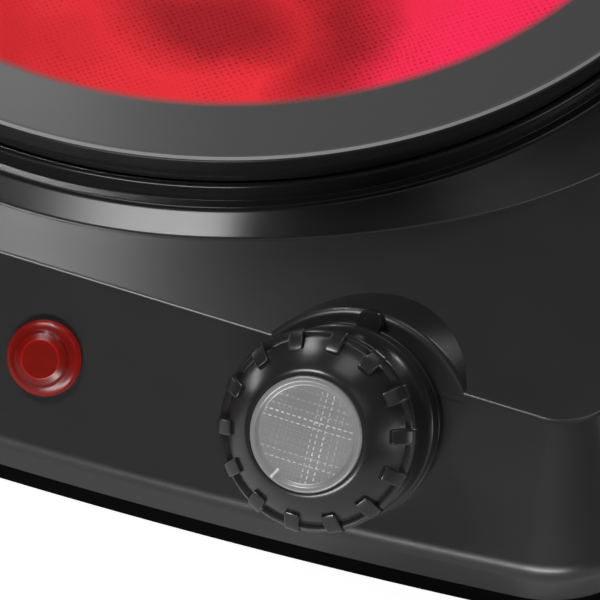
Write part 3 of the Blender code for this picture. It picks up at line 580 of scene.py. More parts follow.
class Bench:
    """Modelling steps shared by the sub-assemblies."""

    @staticmethod
    def clear_selection() -> None:
        """Leaves nothing selected and nothing active."""
        if bpy.context.object and bpy.context.object.mode != "OBJECT":
            bpy.ops.object.mode_set(mode="OBJECT")
        bpy.ops.object.select_all(action="DESELECT")
        bpy.context.view_layer.objects.active = None

    @staticmethod
    def choose(obj: bpy.types.Object) -> None:
        """Makes one object the only selected and the active one."""
        Bench.clear_selection()
        obj.select_set(True)
        bpy.context.view_layer.objects.active = obj

    @staticmethod
    def modify(obj: bpy.types.Object, kind: str, **settings: object) -> None:
        """Adds a modifier with these settings and applies it."""
        Bench.choose(obj)
        modifier = obj.modifiers.new(kind.lower(), kind)
        for name, value in settings.items():
            setattr(modifier, name, value)
        bpy.ops.object.modifier_apply(modifier=modifier.name)

    @staticmethod
    def bevel(obj: bpy.types.Object, width: float, degrees: float, segments: int = 3) -> None:
        """Rounds the edges sharper than an angle."""
        limit = math.radians(degrees)
        Bench.modify(obj, "BEVEL", width=width, segments=segments, limit_method="ANGLE", angle_limit=limit)

    @staticmethod
    def outwards(obj: bpy.types.Object) -> None:
        """Merges doubled points and turns every face outwards."""
        Bench.choose(obj)
        bpy.ops.object.mode_set(mode="EDIT")
        bpy.ops.mesh.select_all(action="SELECT")
        bpy.ops.mesh.remove_doubles(threshold=5.0e-7)
        bpy.ops.mesh.normals_make_consistent(inside=False)
        bpy.ops.object.mode_set(mode="OBJECT")

    @staticmethod
    def settle(obj: bpy.types.Object, place: Matrix | None = None) -> None:
        """Writes an object's place into its mesh, and leaves the object at the origin."""
        obj.data.transform((place or Matrix()) @ obj.matrix_basis)
        obj.matrix_basis = Matrix()

    @staticmethod
    def smooth(obj: bpy.types.Object, degrees: float = 32.0) -> None:
        """Shades a piece smooth, but for its edges sharper than an angle."""
        Bench.choose(obj)
        bpy.ops.object.shade_smooth_by_angle(angle=math.radians(degrees))

    @staticmethod
    def weigh_normals(obj: bpy.types.Object) -> None:
        """Lets large flat faces set the shading next to narrow rounded edges."""
        Bench.modify(obj, "WEIGHTED_NORMAL", keep_sharp=True, weight=80)

    @staticmethod
    def extrude_rings(name: str, rings: Sequence[Sequence[Vector]], closed: bool) -> bpy.types.Object:
        """Extrudes a circle through a row of rings, and gives every point its place on its ring.

        Args:
            name: the piece's name.
            rings: rows of points, the same number in each.
            closed: True joins the last ring to the first; False fills the two ends.

        Returns:
            The closed piece.
        """
        steps = len(rings[0])
        Bench.clear_selection()
        bpy.ops.mesh.primitive_circle_add(vertices=steps, radius=rings[0][0].length)
        obj = bpy.context.object
        obj.name = name
        station = obj.data.attributes.new("station", "INT", "POINT")
        station.data.foreach_set("value", range(steps))
        bpy.ops.object.mode_set(mode="EDIT")
        bpy.ops.mesh.select_all(action="SELECT")
        for _ in rings[1:]:
            bpy.ops.mesh.extrude_edges_move(TRANSFORM_OT_translate={"value": (0.0, 0.0, 0.001)})
        bpy.ops.object.mode_set(mode="OBJECT")
        stations = [0] * len(obj.data.vertices)
        obj.data.attributes["station"].data.foreach_get("value", stations)
        for index, vertex in enumerate(obj.data.vertices):
            vertex.co = rings[index // steps][stations[index]]
        Bench.close_ends(obj, steps, closed)
        obj.data.attributes.remove(obj.data.attributes["station"])
        Bench.outwards(obj)
        return obj

    @staticmethod
    def close_ends(obj: bpy.types.Object, steps: int, closed: bool) -> None:
        """Bridges the first and last ring of an extruded piece, or fills each of them."""
        last = len(obj.data.vertices) - steps
        for ends in ((True, True),) if closed else ((True, False), (False, True)):
            Bench.choose(obj)
            bpy.ops.object.mode_set(mode="EDIT")
            bpy.ops.mesh.select_mode(type="VERT")
            bpy.ops.mesh.select_all(action="DESELECT")
            bpy.ops.object.mode_set(mode="OBJECT")
            for index, vertex in enumerate(obj.data.vertices):
                vertex.select = (ends[0] and index < steps) or (ends[1] and index >= last)
            bpy.ops.object.mode_set(mode="EDIT")
            if closed:
                bpy.ops.mesh.bridge_edge_loops()
            else:
                bpy.ops.mesh.edge_face_add()
            bpy.ops.object.mode_set(mode="OBJECT")

    @staticmethod
    def lathe(
        name: str,
        profile: Sequence[tuple[float, float]],
        steps: int = 192,
        bevel: float = 0.0002,
        place: Matrix | None = None,
        smooth: bool = True,
    ) -> bpy.types.Object:
        """Turns a profile about the Z axis and rounds its edges.

        Args:
            name: the piece's name.
            profile: (radius, height) points. It is a ring, unless it starts and ends on the axis.
            steps: points round the circle.
            bevel: width of the rounded edges, or 0.
            place: where the piece goes.
            smooth: False leaves the shading and the place to a later step.

        Returns:
            The piece, with its place in its mesh.
        """
        solid = profile[0][0] == 0.0
        turns = [2.0 * math.pi * index / steps for index in range(steps)]
        rings = [
            [Vector((radius * math.cos(turn), radius * math.sin(turn), height)) for turn in turns]
            for radius, height in profile
            if radius > 0.0
        ]
        obj = Bench.extrude_rings(name, rings, closed=not solid)
        if bevel:
            Bench.bevel(obj, bevel, 20.0)
        Bench.settle(obj, place)
        if smooth:
            Bench.smooth(obj)
            Bench.weigh_normals(obj)
        return obj

    @staticmethod
    def prism(name: str, side: Sequence[tuple[float, float]], width: float, bevel: float) -> bpy.types.Object:
        """Extrudes an (x, z) outline across Y, with rounded edges."""
        rings = [[Vector((x, y, z)) for x, z in side] for y in (-width / 2, width / 2)]
        obj = Bench.extrude_rings(name, rings, closed=False)
        Bench.bevel(obj, bevel, 25.0)
        Bench.settle(obj)
        return obj

    @staticmethod
    def box(name: str, low: Point, high: Point) -> bpy.types.Object:
        """A block between two corners."""
        middle = [(a + b) / 2 for a, b in zip(low, high)]
        Bench.clear_selection()
        bpy.ops.mesh.primitive_cube_add(size=1.0, location=middle, scale=[b - a for a, b in zip(low, high)])
        obj = bpy.context.object
        obj.name = name
        Bench.settle(obj)
        return obj

    @staticmethod
    def join(objects: Sequence[bpy.types.Object], name: str) -> bpy.types.Object:
        """Joins helpers into one object."""
        Bench.choose(objects[0])
        for obj in objects:
            obj.select_set(True)
        if len(objects) > 1:
            bpy.ops.object.join()
        objects[0].name = name
        return objects[0]

    @staticmethod
    def boolean(obj: bpy.types.Object, other: bpy.types.Object, operation: Cut) -> None:
        """Unites a helper with a piece, or cuts it out of the piece, and removes the helper."""
        Bench.modify(obj, "BOOLEAN", operation=operation.value, solver="EXACT", object=other)
        bpy.data.objects.remove(other)

    @staticmethod
    def rod(name: str, radius: float, low: float, high: float, place: Matrix, steps: int) -> bpy.types.Object:
        """A plain round bar between two heights of a place, used as a helper."""
        profile = [(0.0, low), (radius, low), (radius, high), (0.0, high)]
        return Bench.lathe(name, profile, steps, 0.0, place, smooth=False)

    @staticmethod
    def keep_above(obj: bpy.types.Object, height: float) -> None:
        """Cuts away all of a helper that is lower than a height, and closes the cut."""
        Bench.choose(obj)
        bpy.ops.object.mode_set(mode="EDIT")
        bpy.ops.mesh.select_all(action="SELECT")
        bpy.ops.mesh.bisect(
            plane_co=(0.0, 0.0, height), plane_no=(0.0, 0.0, 1.0), use_fill=True, clear_inner=True
        )
        bpy.ops.object.mode_set(mode="OBJECT")
        Bench.outwards(obj)

    @staticmethod
    def copy(obj: bpy.types.Object, name: str, place: Matrix) -> bpy.types.Object:
        """A copy with its own mesh, at another place."""
        double = obj.copy()
        double.data = obj.data.copy()
        double.name = name
        bpy.context.scene.collection.objects.link(double)
        double.data.transform(place)
        return double

    @staticmethod
    def hand_over(
        obj: bpy.types.Object, material: bpy.types.Material, body: str, slot: str, nodes: Sequence[str]
    ) -> bpy.types.Object:
        """Dresses a finished piece, and says which body it rides on and which nodes it stands for."""
        obj.data.materials.clear()
        obj.data.materials.append(material)
        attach(obj, body)
        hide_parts(*nodes)
        log.info("%s: %d faces, stands for %s", obj.name, len(obj.data.polygons), ", ".join(nodes))
        return obj


# Shapes of the housing


def panel_place(x: float, down: float) -> Matrix:
    """The frame of a fitting on the sloping panel: X to the right, Y up the slope, Z out of the panel."""
    cos, sin = math.cos(Housing.tilt), math.sin(Housing.tilt)
    return Matrix((
        (1.0, 0.0, 0.0, x),
        (0.0, sin, -cos, -Housing.crease_half_y - down * sin),
        (0.0, cos, sin, Housing.deck - down * cos),
        (0.0, 0.0, 0.0, 1.0),
    ))


def corners(x: float, y: float) -> list[Matrix]:
    """Upright places at the four corners of a rectangle: the left ones first, and front before rear."""
    return [Matrix.Translation((sx * x, sy * y, 0.0)) for sx in (-1, 1) for sy in (-1, 1)]


@dataclass(frozen=True)
class Plan:
    """A rounded square seen from above, whose walls bow slightly outwards."""

    half_x: float
    half_y: float
    bow: float
    corner: float
    steps: int = 22
    passes: ClassVar[int] = 12

    def corner_arc(self) -> tuple[float, float, float, float]:
        """The corner arc's centre, and where the bowed walls meet the arc."""
        curve = 1.0 / self.bow if self.bow else 0.0
        reach_x, reach_y = self.half_x - self.corner, self.half_y - self.corner
        centre_x = centre_y = 0.0
        for _ in range(self.passes):
            centre_x = self.half_x - reach_y**2 * curve / 2 - self.corner * math.cos(reach_y * curve)
            centre_y = self.half_y - reach_x**2 * curve / 2 - self.corner * math.cos(reach_x * curve)
            reach_x = centre_x + self.corner * math.sin(reach_x * curve)
            reach_y = centre_y + self.corner * math.sin(reach_y * curve)
        return centre_x, centre_y, reach_x, reach_y

    def quarter(self, height: Callable[[float, float], tuple[float, float]]) -> list[Vector]:
        """The front right quarter.

        Args:
            height: gives the front wall's and the side wall's height at (x, y); the corner blends the two.

        Returns:
            Points from the middle of the front to the middle of the right side.
        """
        curve = 1.0 / self.bow if self.bow else 0.0
        centre_x, centre_y, reach_x, reach_y = self.corner_arc()
        steps = self.steps
        front = [reach_x * i / steps for i in range(steps)]
        flat = [(x, -self.half_y + x * x * curve / 2) for x in front]
        start, stop = reach_x * curve, math.pi / 2 - reach_y * curve
        for i in range(steps + 1):
            angle = start + (stop - start) * i / steps
            flat.append((centre_x + self.corner * math.sin(angle), -centre_y - self.corner * math.cos(angle)))
        side = [reach_y * (steps - 1 - i) / steps for i in range(steps)]
        flat += [(self.half_x - y * y * curve / 2, -y) for y in side]
        ends = height(*flat[steps])[0], height(*flat[2 * steps])[1]
        found = []
        for i, (x, y) in enumerate(flat):
            if steps < i < 2 * steps:
                z = ends[0] + (ends[1] - ends[0]) * (i - steps) / steps
            else:
                z = height(x, y)[0 if i <= steps else 1]
            found.append(Vector((x, y, z)))
        return found

    def ring(self, height: float | Callable[[float, float], tuple[float, float]]) -> list[Vector]:
        """The whole outline, anticlockwise from the middle of the front, at one height or on the slopes."""
        quarter = self.quarter(height if callable(height) else lambda x, y: (height, height))
        right = quarter + [Vector((p.x, -p.y, p.z)) for p in reversed(quarter[:-1])]
        return right + [Vector((-p.x, p.y, p.z)) for p in reversed(right[1:-1])]


def round_ring(guide: Sequence[Vector], radius: float, height: float) -> list[Vector]:
    """A circle with a point at the bearing of each point of a guide ring."""
    return [Vector((*(point.xy.normalized() * radius), height)) for point in guide]


def soften(section: Sequence[Vector], radii: Sequence[float], steps: int) -> list[Vector]:
    """Rounds the inner corners of an open line of points.

    Args:
        section: the line's points.
        radii: one radius for each point but the first and last; 0 leaves it sharp.
        steps: segments in each rounded corner.

    Returns:
        The new line; its number of points depends only on radii and steps.
    """
    found = [section[0]]
    for before, corner, after, radius in zip(section, section[1:], section[2:], radii):
        if not radius:
            found.append(corner)
            continue
        back, on = before - corner, after - corner
        reach = radius / math.tan(back.angle(on) / 2)
        reach = min(reach, 0.45 * back.length, 0.45 * on.length)
        start, end = corner + back.normalized() * reach, corner + on.normalized() * reach
        for i in range(steps + 1):
            share = i / steps
            found.append(start * (1 - share) ** 2 + corner * (2 * share * (1 - share)) + end * share**2)
    found.append(section[-1])
    return found


@dataclass
class Housing:
    """The black top shell: bowed lower wall, four slopes, flat deck, collar, knob hood and openings."""

    tilt: ClassVar[float] = math.radians(39.0)
    crease_half_y: ClassVar[float] = 0.1011
    deck: ClassVar[float] = 0.0400

    half_x: float = 0.1210
    half_y: float = 0.12015
    bottom: float = 0.0111
    wall_bow: float = 0.880
    slope_bow: float = 1.840
    corner: float = 0.0190
    wall: float = 0.0025
    crease_half_x: float = 0.1065
    crease_corner: float = 0.0090
    side_drop: float = 1.62
    collar_top: float = 0.0447
    collar_outer: float = 0.0889
    collar_inner: float = 0.0873
    toe_front: float = 0.0910
    toe_side: float = 0.0996
    toe_spread: tuple[float, float] = (math.radians(20.0), math.radians(82.0))
    post_xy: float = 0.0940
    knob_place: tuple[float, float] = (0.0656, 0.0098)
    lamp_place: tuple[float, float] = (0.0133, 0.0146)
    hood_offset: tuple[float, float] = (0.0008, 0.0032)
    hood_radius: float = 0.0219
    hood_root: float = 0.0235
    hood_lip: float = 0.0014
    hood_proud: float = 0.0002
    screw_offset: float = 0.0100
    inlet: tuple[float, float] = (-0.0600, 0.0240)

    def slopes(self, drop: float = 0.0) -> Callable[[float, float], tuple[float, float]]:
        """Heights of the front and side slopes at (x, y), lowered by drop."""
        steep = 1.0 / math.tan(self.tilt)

        def heights(x: float, y: float) -> tuple[float, float]:
            """The two heights at one point."""
            front = self.deck - drop - (abs(y) - self.crease_half_y) * steep
            side = self.deck - drop - (abs(x) - self.crease_half_x) * self.side_drop
            return front, side

        return heights

    def toe(self, guide: Sequence[Vector], share: float, height: float) -> list[Vector]:
        """A ring on the collar's flank: its foot, wider at the sides, at share 0, and its top at share 1."""
        found = []
        for point in guide:
            bearing = math.atan2(abs(point.x), abs(point.y))
            turn = (bearing - self.toe_spread[0]) / (self.toe_spread[1] - self.toe_spread[0])
            wide = 0.5 - 0.5 * math.cos(math.pi * min(max(turn, 0.0), 1.0))
            foot = self.toe_front + (self.toe_side - self.toe_front) * wide
            found += round_ring([point], foot + (self.collar_outer - foot) * share, height)
        return found

    def shell(self) -> bpy.types.Object:
        """The bare shell, as rings from the lower edge over the deck and back inside."""
        crease = Plan(self.crease_half_x, self.crease_half_y, 0.0, self.crease_corner).ring(self.deck)
        under = self.deck - self.wall
        steep = 1.0 / math.tan(self.tilt)
        flank = 1.0 / self.side_drop
        inside_x = self.crease_half_x + self.wall * flank - self.wall * math.hypot(1.0, flank)
        inside_y = self.crease_half_y + self.wall / steep - self.wall / math.cos(self.tilt)
        inner_x, inner_y = self.half_x - self.wall, self.half_y - self.wall
        inner_corner = self.corner - self.wall
        rows = [
            (Plan(self.half_x, self.half_y, self.wall_bow, self.corner).ring(self.bottom), 0.0),
            (Plan(self.half_x, self.half_y, self.slope_bow, self.corner).ring(self.slopes()), 0.0040),
            (crease, 0.0011),
            (self.toe(crease, 0.0, self.deck), 0.0008),
            (self.toe(crease, 1.0, self.collar_top), 0.0009),
            (round_ring(crease, self.collar_inner, self.collar_top), 0.0003),
            (round_ring(crease, self.collar_inner, under), 0.0),
            (Plan(inside_x, inside_y, 0.0, self.crease_corner - self.wall).ring(under), 0.0),
            (Plan(inner_x, inner_y, self.slope_bow, inner_corner).ring(self.slopes(self.wall * 1.35)), 0.0),
            (Plan(inner_x, inner_y, self.wall_bow, inner_corner).ring(self.bottom), 0.0),
        ]
        radii = [radius for _, radius in rows[1:-1]]
        sections = [soften(section, radii, 5) for section in zip(*(ring for ring, _ in rows))]
        return Bench.extrude_rings("housing_shell", list(zip(*sections)), closed=True)

    def hood(self, shell: bpy.types.Object) -> None:
        """Adds the round hood over the knob, with a rounded lip, and hollows it."""
        x, down = (a + b for a, b in zip(self.knob_place, self.hood_offset))
        place, lip = panel_place(x, down), self.hood_lip
        arc = [
            (self.hood_radius - lip + lip * math.cos(turn), self.hood_proud - lip + lip * math.sin(turn))
            for turn in (math.radians(15 * i) for i in range(7))
        ]
        profile = [(0.0, -0.0160), (self.hood_root, -0.0160), *arc, (0.0, self.hood_proud)]
        block = Bench.lathe("hood", profile, 160, 0.0, place, smooth=False)
        Bench.keep_above(block, self.deck - 0.0010)
        Bench.boolean(shell, block, Cut.ADD)
        hollow = Bench.rod("hood_hollow", self.hood_radius - self.wall, -0.0125, -self.wall, place, 96)
        Bench.keep_above(hollow, 0.0300)
        Bench.boolean(shell, hollow, Cut.REMOVE)

    def fittings(self, shell: bpy.types.Object) -> None:
        """Adds the four screw posts and the inlet boss."""
        top, places = self.deck - 0.0012, corners(self.post_xy, self.post_xy)
        posts = [Bench.rod("post", 0.0040, 0.0088, top, place, 32) for place in places]
        Bench.boolean(shell, Bench.join(posts, "posts"), Cut.ADD)
        rim = [(0.0, 0.0980), (0.0080, 0.0980), (0.0080, 0.1195), (0.0077, 0.1198), (0.0, 0.1198)]
        boss = Bench.lathe("boss", rim, 64, 0.0, self.inlet_place(), smooth=False)
        Bench.boolean(shell, boss, Cut.ADD)

    def inlet_place(self) -> Matrix:
        """The frame of the mains inlet: Z points out of the rear wall."""
        return Matrix.Translation((self.inlet[0], 0.0, self.inlet[1])) @ Matrix.Rotation(-math.pi / 2, 4, "X")

    def openings(self, shell: bpy.types.Object) -> None:
        """Cuts the holes for the shaft, its two screws, the pilot lens, the inlet and the post screws."""
        knob, lamp = panel_place(*self.knob_place), panel_place(*self.lamp_place)
        side = Matrix.Translation((self.screw_offset, 0.0, 0.0))
        cuts = [
            (0.0046, -0.006, 0.003, knob),
            (0.0052, -0.006, 0.003, lamp),
            (0.0059, 0.090, 0.130, self.inlet_place()),
            (0.0019, -0.006, 0.003, knob @ side),
            (0.0019, -0.006, 0.003, knob @ side.inverted()),
        ]
        cuts += [(0.0018, 0.006, 0.022, place) for place in corners(self.post_xy, self.post_xy)]
        made = [Bench.rod("cut", radius, low, high, place, 64) for radius, low, high, place in cuts]
        Bench.boolean(shell, Bench.join(made, "openings"), Cut.REMOVE)

    def build(self, material: bpy.types.Material) -> None:
        """Models and dresses the shell."""
        shell = self.shell()
        self.hood(shell)
        self.fittings(shell)
        self.openings(shell)
        Bench.smooth(shell, 28.0)
        Bench.weigh_normals(shell)
        Bench.hand_over(shell, material, FIXED_BODY, "housing_black", ["top_housing"])


# Base, feet and their screws


@dataclass
class BaseTray:
    """The shallow black tray under the housing, with its vents, feet and screws."""

    half_x: float = 0.1206
    half_y: float = 0.11975
    bow: float = 0.880
    corner: float = 0.0186
    bottom: float = 0.0067
    floor: float = 0.0012
    rim: float = 0.0016
    rim_top: float = 0.0108
    screw_xy: float = 0.0940
    foot_place: tuple[float, float] = (0.0820, 0.0800)
    screw_hole: float = 0.0019
    foot_hole: float = 0.0033
    bracket_circle: float = 0.085
    bracket_bearings: tuple[float, ...] = (90.0, 210.0, 330.0)
    earth_place: tuple[float, float] = (-0.0300, 0.0980)
    cut_heights: tuple[float, float] = (0.005, 0.010)
    vent_x: float = 0.034
    vent_half: tuple[float, float] = (0.018, 0.002)
    vent_rows: int = 7
    vent_pitch: float = 0.0150

    def tray(self) -> bpy.types.Object:
        """The tray: a flat floor with a rounded lower edge and a low rim."""
        outer = Plan(self.half_x, self.half_y, self.bow, self.corner)
        inner = Plan(self.half_x - self.rim, self.half_y - self.rim, self.bow, self.corner - self.rim)
        inset = Plan(self.half_x - 0.006, self.half_y - 0.006, self.bow, self.corner - 0.006)
        rows = [
            inset.ring(self.bottom), outer.ring(self.bottom), outer.ring(self.rim_top),
            inner.ring(self.rim_top), inner.ring(self.bottom + self.floor),
            inset.ring(self.bottom + self.floor),
        ]
        sections = [soften(section, (0.0010, 0.0002, 0.0002, 0.0008), 4) for section in zip(*rows)]
        return Bench.extrude_rings("base_tray", list(zip(*sections)), closed=False)

    def vents(self) -> list[bpy.types.Object]:
        """Helpers for the two columns of vents."""
        (low, high), (half_x, half_y) = self.cut_heights, self.vent_half
        made = []
        for x in (-self.vent_x, self.vent_x):
            for row in range(self.vent_rows):
                y = (row - self.vent_rows // 2) * self.vent_pitch
                made.append(Bench.box("vent", (x - half_x, y - half_y, low), (x + half_x, y + half_y, high)))
                Bench.bevel(made[-1], 0.0015, 30.0, 4)
        return made

    def holes(self) -> list[bpy.types.Object]:
        """Helpers for the holes of the screws, the feet, the heater's brackets and the earth screw."""
        places = [(place, self.screw_hole) for place in corners(self.screw_xy, self.screw_xy)]
        places += [(place, self.foot_hole) for place in corners(*self.foot_place)]
        for bearing in map(math.radians, self.bracket_bearings):
            across, along = self.bracket_circle * math.cos(bearing), self.bracket_circle * math.sin(bearing)
            places.append((Matrix.Translation((across, along, 0.0)), self.screw_hole))
        places.append((Matrix.Translation((*self.earth_place, 0.0)), self.screw_hole))
        return [Bench.rod("hole", radius, *self.cut_heights, place, 32) for place, radius in places]

    def build(self, material: bpy.types.Material) -> None:
        """Models the tray, and cuts its vents and holes."""
        tray = self.tray()
        Bench.boolean(tray, Bench.join(self.vents() + self.holes(), "tray_openings"), Cut.REMOVE)
        Bench.smooth(tray)
        Bench.weigh_normals(tray)
        Bench.hand_over(tray, material, FIXED_BODY, "base_black", ["base_pan"])

    def build_feet(self, rubber: bpy.types.Material, steel: bpy.types.Material) -> None:
        """Models one foot and one screw, and copies each to the four corners."""
        foot = Bench.lathe("foot", [
            (0.0, 0.0), (0.0066, 0.0), (0.0072, 0.0004), (0.0078, 0.0), (0.0090, 0.0), (0.0100, 0.0012),
            (0.0098, 0.0064), (0.0030, 0.0064), (0.0030, 0.0082), (0.0044, 0.0082), (0.0024, 0.0115),
            (0.0, 0.0115),
        ], 96, 0.0003)
        screw = self.screw()
        names = ("left_front", "left_rear", "right_front", "right_rear")
        screw_places = corners(self.screw_xy, self.screw_xy)
        for name, foot_place, screw_place in zip(names, corners(*self.foot_place), screw_places):
            made = Bench.copy(foot, f"rubber_foot_{name}", foot_place)
            Bench.hand_over(made, rubber, FIXED_BODY, "rubber", [f"foot_{name}"])
            made = Bench.copy(screw, f"tray_screw_{name}", screw_place)
            Bench.hand_over(made, steel, FIXED_BODY, "steel", [f"base_screw_{name}"])
        bpy.data.objects.remove(foot)
        bpy.data.objects.remove(screw)

    def screw(self) -> bpy.types.Object:
        """A pan head screw with a cross recess, its head just under the tray."""
        head = Bench.lathe("screw", [
            (0.0, 0.0050), (0.0016, 0.0050), (0.0024, 0.0053), (0.0028, 0.0059), (0.0028, 0.0064),
            (0.0015, 0.0064), (0.0015, 0.0174), (0.0009, 0.0180), (0.0, 0.0180),
        ], 48, 0.0, smooth=False)
        blades = [
            Bench.box("blade", (-0.0014, -0.0003, 0.0040), (0.0014, 0.0003, 0.0062)),
            Bench.box("blade", (-0.0003, -0.0014, 0.0040), (0.0003, 0.0014, 0.0062)),
        ]
        Bench.boolean(blades[0], blades[1], Cut.ADD)
        Bench.boolean(head, blades[0], Cut.REMOVE)
        Bench.smooth(head)
        return head


# Cooking top


@dataclass
class CookingTop:
    """The glass plate with the ring that carries it and the trim ring round it."""

    radius: float = 0.0900
    top: float = 0.0580
    thickness: float = 0.0040
    chamfer: float = 0.0007

    def build(self, glass: bpy.types.Material, trim: bpy.types.Material) -> None:
        """Models and dresses the three rings of the cooking top."""
        under = self.top - self.thickness
        plate = Bench.lathe("cooking_glass", [
            (0.0, under), (self.radius - self.chamfer, under), (self.radius, under + self.chamfer),
            (self.radius, self.top - self.chamfer), (self.radius - self.chamfer, self.top), (0.0, self.top),
        ], 256, 0.0003)
        Bench.hand_over(plate, glass, FIXED_BODY, "plate_glass", ["glass_plate"])
        carrier = Bench.lathe("glass_carrier", [
            (0.0836, 0.0526), (0.0836, 0.0516), (0.0856, 0.0516), (0.0856, 0.0361), (0.0935, 0.0361),
            (0.0935, 0.0371), (0.0868, 0.0371), (0.0868, 0.0526),
        ], 256, 0.0003)
        Bench.hand_over(carrier, trim, FIXED_BODY, "trim_black", ["plate_carrier"])
        ring = Bench.lathe("collar_trim", [
            (0.0871, 0.0450), (0.0892, 0.0450), (0.0892, 0.0455), (0.0890, 0.0457), (0.0878, 0.0457),
            (0.0878, 0.0484), (0.0880, 0.0486), (0.0881, 0.0489), (0.0880, 0.0492), (0.0878, 0.0494),
            (0.0875, 0.0495), (0.0872, 0.0494), (0.0871, 0.0491),
        ], 256, 0.00012)
        Bench.hand_over(ring, trim, FIXED_BODY, "trim_black", ["trim_ring"])


# Knob, dial and lamp


@dataclass
class Knob:
    """The ribbed knob on its shaft, with its silver cap."""

    place: Matrix
    ribs: int = 14
    rib_width: float = 0.0026
    first_rib: float = math.radians(13.25)
    cap_radius: float = 0.0096
    cap_face: float = 0.0081
    cap_top: float = 0.0234

    def grip(self) -> bpy.types.Object:
        """The knob's body: a deep skirt, a waist, a convex face, and a hub with the shaft's bore."""
        body = Bench.lathe("knob_grip", [
            (0.0, 0.0175), (0.0033, 0.0175), (0.0033, 0.0034), (0.0062, 0.0034), (0.0062, 0.0160),
            (0.0124, 0.0160), (0.0134, 0.0033), (0.0162, 0.0033), (0.0162, 0.0056), (0.0158, 0.0061),
            (0.0151, 0.0080),
            (0.0150, 0.0142), (0.0160, 0.0150), (0.0165, 0.0156), (0.0167, 0.0163), (0.0166, 0.0170),
            (0.0162, 0.0175), (0.0157, 0.0176), (0.0153, 0.0175), (0.0151, 0.0177), (0.0145, 0.0187),
            (0.0137, 0.0197), (0.0128, 0.0207), (0.0118, 0.0217), (0.0108, 0.0226), (0.0101, 0.0230),
            (0.0098, 0.0230), (0.0097, 0.0229), (0.0097, 0.0210), (0.0, 0.0210),
        ], 224, 0.0, smooth=False)
        side = [
            (0.0134, 0.0165), (0.0137, 0.0204), (0.0145, 0.0199), (0.0155, 0.0192), (0.0164, 0.0183),
            (0.0168, 0.0176), (0.0169, 0.0168), (0.0169, 0.0157), (0.0158, 0.0157),
        ]
        rib = Bench.prism("rib", side, self.rib_width, 0.0004)
        for index in range(self.ribs):
            turn = Matrix.Rotation(self.first_rib + 2.0 * math.pi * index / self.ribs, 4, "Z")
            Bench.boolean(body, Bench.copy(rib, f"rib_{index}", turn), Cut.ADD)
        bpy.data.objects.remove(rib)
        return body

    def build(self, black: bpy.types.Material, silver: bpy.types.Material) -> None:
        """Models the body and the cap, and puts them on the shaft."""
        body = self.grip()
        Bench.settle(body, self.place)
        Bench.smooth(body, 35.0)
        Bench.weigh_normals(body)
        Bench.hand_over(body, black, KNOB_BODY, "knob_black", ["knob_body"])
        side, top, face = self.cap_radius, self.cap_top, self.cap_face
        cap = Bench.lathe("knob_badge", [
            (0.0, 0.0213), (side, 0.0213), (side, top - 0.0004), (side - 0.0002, top), (face + 0.0006, top),
            (face, top - 0.0005), (face * 0.75, top - 0.0004), (face * 0.5, top - 0.0003),
            (face * 0.25, top - 0.00025), (0.0, top - 0.00025),
        ], 192, 0.00012, self.place)
        Bench.hand_over(cap, silver, KNOB_BODY, "knob_silver", ["knob_cap"])


@dataclass
class PanelFittings:
    """The fixed dial ring behind the knob with its round pip, and the red pilot lens."""

    knob_place: Matrix
    lamp_place: Matrix

    def build_dial(self, material: bpy.types.Material) -> None:
        """Models the dial ring and its pip."""
        ring_side = [(0.0131, 0.0003), (0.0162, 0.0003), (0.0162, 0.0022), (0.0131, 0.0022)]
        ring = Bench.lathe("dial_ring", ring_side, 192, 0.0003, self.knob_place, smooth=False)
        pip_place = self.knob_place @ Matrix.Translation((0.0, 0.0168, 0.0))
        pip_side = [
            (0.0, 0.0003), (0.0022, 0.0003), (0.0022, 0.0024), (0.0020, 0.0028), (0.0016, 0.0029),
            (0.0, 0.0029),
        ]
        Bench.boolean(ring, Bench.lathe("pip", pip_side, 64, 0.0, pip_place, smooth=False), Cut.ADD)
        Bench.smooth(ring)
        Bench.hand_over(ring, material, FIXED_BODY, "knob_black", ["dial_seat"])

    def build_lens(self, material: bpy.types.Material) -> None:
        """Models the stepped red lens."""
        lens = Bench.lathe("pilot_window", [
            (0.0, 0.0016), (0.0030, 0.0016), (0.0038, 0.0006), (0.0038, -0.0062), (0.0049, -0.0062),
            (0.0049, 0.0003), (0.0063, 0.0003), (0.0063, 0.0011), (0.0060, 0.0016), (0.0053, 0.0019),
            (0.0047, 0.0020), (0.0043, 0.0026), (0.0034, 0.0029), (0.0032, 0.0030), (0.0, 0.0030),
        ], 96, 0.00012, self.lamp_place)
        Bench.hand_over(lens, material, FIXED_BODY, "lamp_red", ["pilot_lens"])


@dataclass
class Inlet:
    """The rubber gland in the rear wall, where the mains lead goes in."""

    place: Matrix
    bore: float = 0.0040
    ribs: int = 3

    def build(self, material: bpy.types.Material) -> None:
        """Models the gland with its flange and a ribbed, tapering mouth."""
        taper = []
        for index in range(self.ribs):
            start = 0.1240 + index * 0.0027
            radius = 0.0060 - index * 0.0002
            taper += [(radius, start), (radius, start + 0.0016), (radius - 0.0006, start + 0.0018)]
            taper.append((radius - 0.0006, start + 0.0025))
        profile = [
            (self.bore, 0.0915), (0.0056, 0.0915), (0.0056, 0.1201), (0.0076, 0.1201), (0.0076, 0.1222),
            (0.0072, 0.1226), *taper, (0.0054, 0.1322), (self.bore, 0.1322),
        ]
        gland = Bench.lathe("inlet_gland", profile, 96, 0.0002, self.place)
        Bench.hand_over(gland, material, FIXED_BODY, "rubber", ["cord_gland"])


# Inner pieces that keep their shape from the frame


